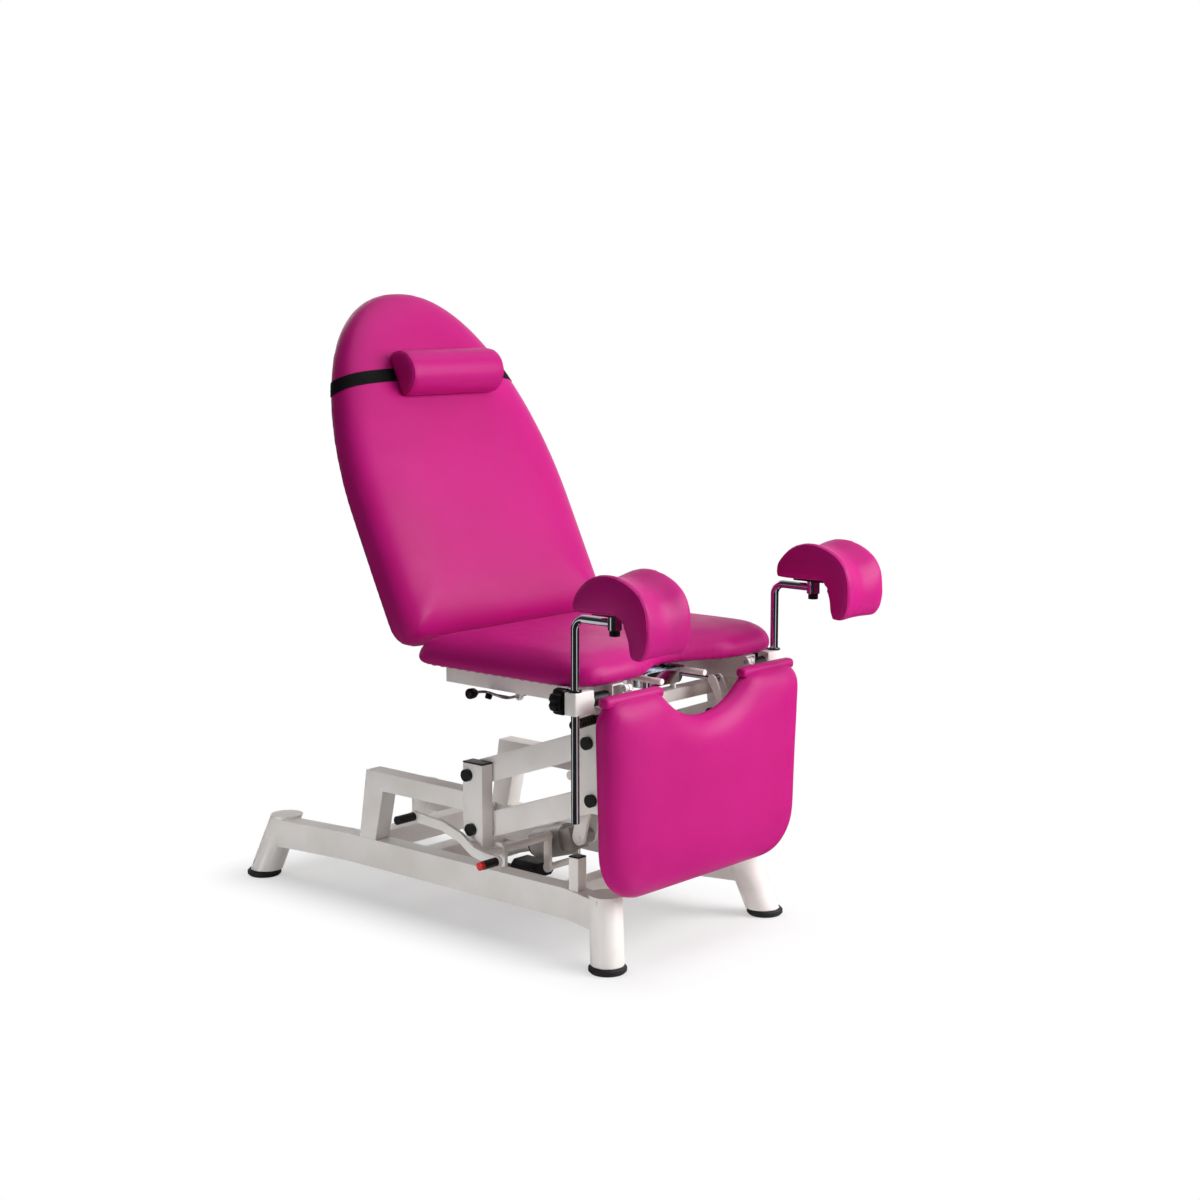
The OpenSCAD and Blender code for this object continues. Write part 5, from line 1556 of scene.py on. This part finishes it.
@dataclass
class Crutch:
    """One knee crutch: its padded rest, welts and clamp knob."""

    side: Side
    x: float = 0.306
    rod_y: float = -0.390
    reach: float = 0.096
    rod_top: float = 0.680
    width: float = 0.133
    rest_reach: float = 0.178
    rest_height: float = 0.147
    trough: float = 0.011
    rest_back: float = 0.050
    rest_seat: float = 0.020
    rest_drop: float = 0.071
    plate_rise: float = 0.0215
    plate_reach: float = 0.07
    clamp_back: float = -0.376
    clamp_z: float = 0.5205
    sleeve_x: float = 0.2218
    sleeve: tuple[Point2, ...] = ((0.0, 0.0125), (0.0, 0.0133), (0.0445, 0.0133), (0.0445, 0.0125))
    shape: tuple[tuple[float, float, float], ...] = (
        (0.0, 0.54, 0.2), (0.02, 0.69, 0.6), (0.12, 0.84, 1.0), (0.26, 0.95, 1.0), (0.43, 1.0, 1.0),
        (0.61, 0.98, 1.0), (0.78, 0.9, 1.0), (0.91, 0.77, 1.0), (0.98, 0.59, 1.0), (1.0, 0.38, 1.0),
        (0.99, 0.18, 0.8), (0.94, 0.05, 0.3), (0.87, 0.0, 0.0), (0.77, 0.01, 0.0), (0.73, 0.11, 0.0),
        (0.71, 0.28, 0.0), (0.69, 0.41, 0.0), (0.63, 0.483, 0.0), (0.53, 0.483, 0.0), (0.38, 0.483, 0.0),
        (0.23, 0.483, 0.0), (0.08, 0.483, 0.0), (0.02, 0.49, 0.0))
    # Rings of the knob: distance from its back, radius, and share of it that the lobes cut away
    knob_layers: tuple[Point3, ...] = (
        (0.0003, 0.012, 0), (0.0078, 0.013, 0), (0.008, 0.02295, 0.153), (0.0095, 0.024735, 0.1649),
        (0.013, 0.0255, 0.17), (0.027, 0.0255, 0.17), (0.0305, 0.02448, 0.1632), (0.032, 0.02193, 0.1462),
        (0.0325, 0.0153, 0.102), (0.031, 0.00765, 0.051))
    lobes: int = 7
    knob_count: int = 96

    def spot(self, across: float, y: float, z: float) -> Vector:
        """Point of the crutch, with its distance from the chair's middle plane given."""
        return Vector((self.side.value * across, y, z))

    def profile(self) -> list[tuple]:
        """Side view of the rest, and how far each point dips in the trough."""
        back = self.rod_y - self.reach + self.rest_back
        low = self.rod_top + self.rest_seat - self.rest_drop
        points = [(back - a * self.rest_reach, low + b * self.rest_height, w) for a, b, w in self.shape]
        return spline_loop(points, 5)

    def rest_ring(self, share: float, depth: float) -> list[Vector]:
        """One ring across the rest.

        Args:
            share: Place across its width, from 0 to 1.
            depth: How far the ring is drawn in.

        Returns:
            The ring's points.
        """
        loop = self.profile()
        moved = inset([(a, b) for a, b, _ in loop], depth)
        dipped = inset([(a, b) for a, b, _ in loop], depth + self.trough * math.sin(math.pi * share) ** 2)
        across = self.x - self.width / 2 + self.width * share
        return [self.spot(across, m[0] + (d[0] - m[0]) * w, m[1] + (d[1] - m[1]) * w)
                for m, d, (_, _, w) in zip(moved, dipped, loop)]

    def build(self, finishes: dict[str, Material], welt: GeometryTree) -> None:
        """Makes the rest, its welts and the knob.

        Args:
            finishes: Materials by slot.
            welt: The welt tree.
        """
        word = self.side.word
        skin = 0.0035
        edge = ((0.0, 0.016), (0.0, 0.010), (0.008, 0.005), (0.02, 0.002), (0.045, 0.0))
        spots = [*edge] + [(k / 10, 0.0) for k in range(1, 10)]
        spots += [(1 - s, d) for s, d in reversed(edge)]
        rest = loft(f"knee_rest_{word}", [self.rest_ring(0.012 + 0.976 * s, d + skin) for s, d in spots])
        plate = self.rod_top + self.plate_rise
        front = self.rod_y - self.reach - self.plate_reach
        rest = puffed(rest, 0.005, 0.005, lambda p: p.z < plate and p.y > front)
        ways = (Vector((1, 0, 0)), Vector((0, 1, 0)), Vector((0, 0, 1)))
        sizes = [(min(row), max(row)) for row in zip(*self.profile())]
        stretched(rest, self.spot(self.x, 0, 0), ways, [(-self.width / 2, self.width / 2), *sizes[:2]])
        wear_on(rest, finishes["vinyl"], f"knee_rest_{word}", (f"knee_pad_{word}",))
        loops = [self.rest_ring(s, 0.0016) for s in (0.035, 0.965)]
        welted(f"knee_rest_welts_{word}", loops, rest, f"knee_rest_{word}", welt)
        self.knob(finishes["black_plastic"])
        start, across = self.spot(self.sleeve_x, self.rod_y, self.clamp_z), Vector((self.side.value, 0, 0))
        sleeve = turned(f"clamp_sleeve_{word}", self.sleeve, start, across)
        sharpen(sleeve, 50)
        wear_on(sleeve, finishes["black_plastic"], "carriage")

    def knob(self, nylon: Material) -> None:
        """Makes the clamp knob with its seven lobes.

        Args:
            nylon: Its material.
        """
        rings = []
        for depth, radius, dip in self.knob_layers:
            ring = []
            for k, (c, s) in enumerate(circle(self.knob_count)):
                swing = max(0.0, math.cos(self.lobes * 2 * math.pi * k / self.knob_count)) ** 1.6
                r = radius * (1 - dip * swing)
                ring.append(self.spot(self.x + r * c, self.clamp_back + depth, self.clamp_z + r * s))
            rings.append(ring)
        wheel = loft(f"clamp_wheel_{self.side.word}", rings)
        sharpen(wheel, 55)
        wear_on(wheel, nylon, f"knob_{self.side.word}", (f"star_knob_{self.side.word}",))


@dataclass
class SteelWork:
    """Parts that keep their CAD shape, with their long edges rounded as tube and mouldings have them."""

    # Radius of the rounded edges, by slot or by node; the rest stays sharp
    radii: tuple[tuple[str, float], ...] = (
        ("painted_steel", 0.0025), ("plywood", 0.001), ("tube_end_caps", 0.001), ("pump_reservoir", 0.0015),
        ("pump_cylinder", 0.0015), ("basin", 0.0004), ("knee_bracket_right", 0.001),
        ("knee_bracket_left", 0.001))
    # Nodes that the upholstery, the knobs and the controls replace
    replaced: tuple[str, ...] = (
        "seat_cushion", "back_cushion", "head_pillow", "leg_cushion", "knee_pad_right", "knee_pad_left",
        "pillow_strap", "star_knob_right", "star_knob_left", "back_release_lever")

    def build(self, finishes: dict[str, Material]) -> None:
        """Rounds and dresses each part.

        Args:
            finishes: Materials by slot.
        """
        record, radii = frame["record"], dict(self.radii)
        bodies = {n: b for b, ns in record["behaviour"]["bodies"].items() for n in ns}
        slots = {part["node"]: part["material_slot"] for part in record["subparts"]}
        for node in (n for n in slots if n not in self.replaced):
            piece = softened(node, radii.get(node, radii.get(slots[node], 0.0)))
            wear_on(piece, finishes[slots[node]], bodies[node], (node,))


@dataclass
class Controls:
    """Small controls under the seat, on the near side: wires, and turned pieces as (distance, radius)."""

    shaft: tuple[Point3, ...] = (
        (-0.060, -0.150, 0.489), (-0.226, -0.150, 0.489), (-0.2345, -0.147, 0.489),
        (-0.2385, -0.139, 0.4898), (-0.241, -0.1067, 0.4949), (-0.245, -0.0967, 0.4964),
        (-0.252, -0.0907, 0.4964), (-0.2640, -0.0907, 0.4964))
    spring: tuple[Point3, ...] = (
        (-0.2245, -0.149, 0.489), (-0.2285, -0.136, 0.4905), (-0.236, -0.112, 0.4925),
        (-0.2435, -0.096, 0.4950))
    head: tuple[Point2, ...] = (
        (-0.002, 0.0), (-0.002, 0.0062), (0.001, 0.0070), (0.003, 0.0092), (0.006, 0.0102), (0.016, 0.0106),
        (0.0185, 0.0099), (0.0197, 0.0082), (0.0200, 0.0))
    clip: tuple[Point2, ...] = (
        (0.0, 0.0), (0.0, 0.0052), (0.0018, 0.0062), (0.011, 0.0062), (0.0125, 0.0050), (0.0125, 0.0))
    clip_place: Point3 = (-0.2445, -0.0997, 0.4899)
    clip_way: Point3 = (0.5, -0.8, -0.25)
    grip_start: tuple[Point2, ...] = ((0.0, 0.0), (0.0, 0.0062), (0.0012, 0.0084), (0.0035, 0.0094))
    grip_groove: tuple[Point2, ...] = ((0.008, 0.0094), (0.0095, 0.0086), (0.011, 0.0086), (0.0125, 0.0094))
    grip_end: tuple[Point2, ...] = ((0.070, 0.0094), (0.0725, 0.0080), (0.0735, 0.0))
    grip_place: Point3 = (-0.2816, -0.3600, 0.4705)
    grip_way: Point3 = (0.0818, 0.0, 0.0044)
    grooves: int = 7
    pitch: float = 0.0085

    def build(self, finishes: dict[str, Material]) -> None:
        """Makes the back's release lever and the leg panel's grip.

        Args:
            finishes: Materials by slot.
        """
        black, steel = finishes["black_plastic"], finishes["steel"]
        wires = [tube("shaft_wire", [Vector(p) for p in self.shaft], 0.0028),
                 tube("return_wire", [Vector(p) for p in self.spring], 0.0015)]
        wear_on(joined("release_wires", wires), steel, "release_lever")
        parts = [turned("lever_head", self.head, Vector(self.shaft[-1]), Vector((-1.0, 0.0, 0.0))),
                 turned("lever_clip", self.clip, Vector(self.clip_place), Vector(self.clip_way))]
        knob = joined("release_knob", parts)
        wear_on(knob, black, "release_lever", ("back_release_lever",))
        end, along = Vector(self.grip_place), Vector(self.grip_way)
        grip = list(self.grip_start)
        for k in range(self.grooves):
            grip += [(a + self.pitch * k, r) for a, r in self.grip_groove]
        grip += self.grip_end
        wear_on(turned("leg_release_grip", grip, end, along), black, "carriage")
        stem = tube("leg_release_stem", [end + along * 0.8, end + along * 1.25], 0.004)
        wear_on(stem, steel, "carriage")


def main() -> None:
    """Builds the scene in order."""
    logging.basicConfig(level=logging.INFO, format="%(name)s: %(message)s", stream=sys.stdout)
    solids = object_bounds()
    bpy.context.scene.view_settings.view_transform = "Standard"
    PhotoCamera().build()
    Studio().build()
    kinds = {
        "vinyl": UpholsteryVinyl, "painted_steel": PowderCoat, "black_plastic": MouldedNylon,
        "rubber": MouldedRubber, "chrome": ChromePlate, "steel": TurnedSteel, "pump_grey": PumpEnamel,
        "red_plastic": GlossAbs, "plywood": BirchPlywood, "elastic": WovenElastic}
    finishes = {slot: kind().build() for slot, kind in kinds.items()}
    welt, staples = welt_tree(), staple_tree()
    SteelWork().build(finishes)
    upholstery = Upholstery()
    upholstery.build(finishes, staples)
    pillow = HeadPillow(upholstery)
    pillow.build(finishes, welt)
    pillow.strap(finishes, bpy.data.objects["back_pad"])
    for side in Side:
        Crutch(side).build(finishes, welt)
    Controls().build(finishes)
    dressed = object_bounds()
    for word, box in (("cad", solids), ("dressed", dressed)):
        log.info("%s %s", word, [tuple(round(c, 4) for c in corner) for corner in box])


if __name__ == "__main__":
    main()
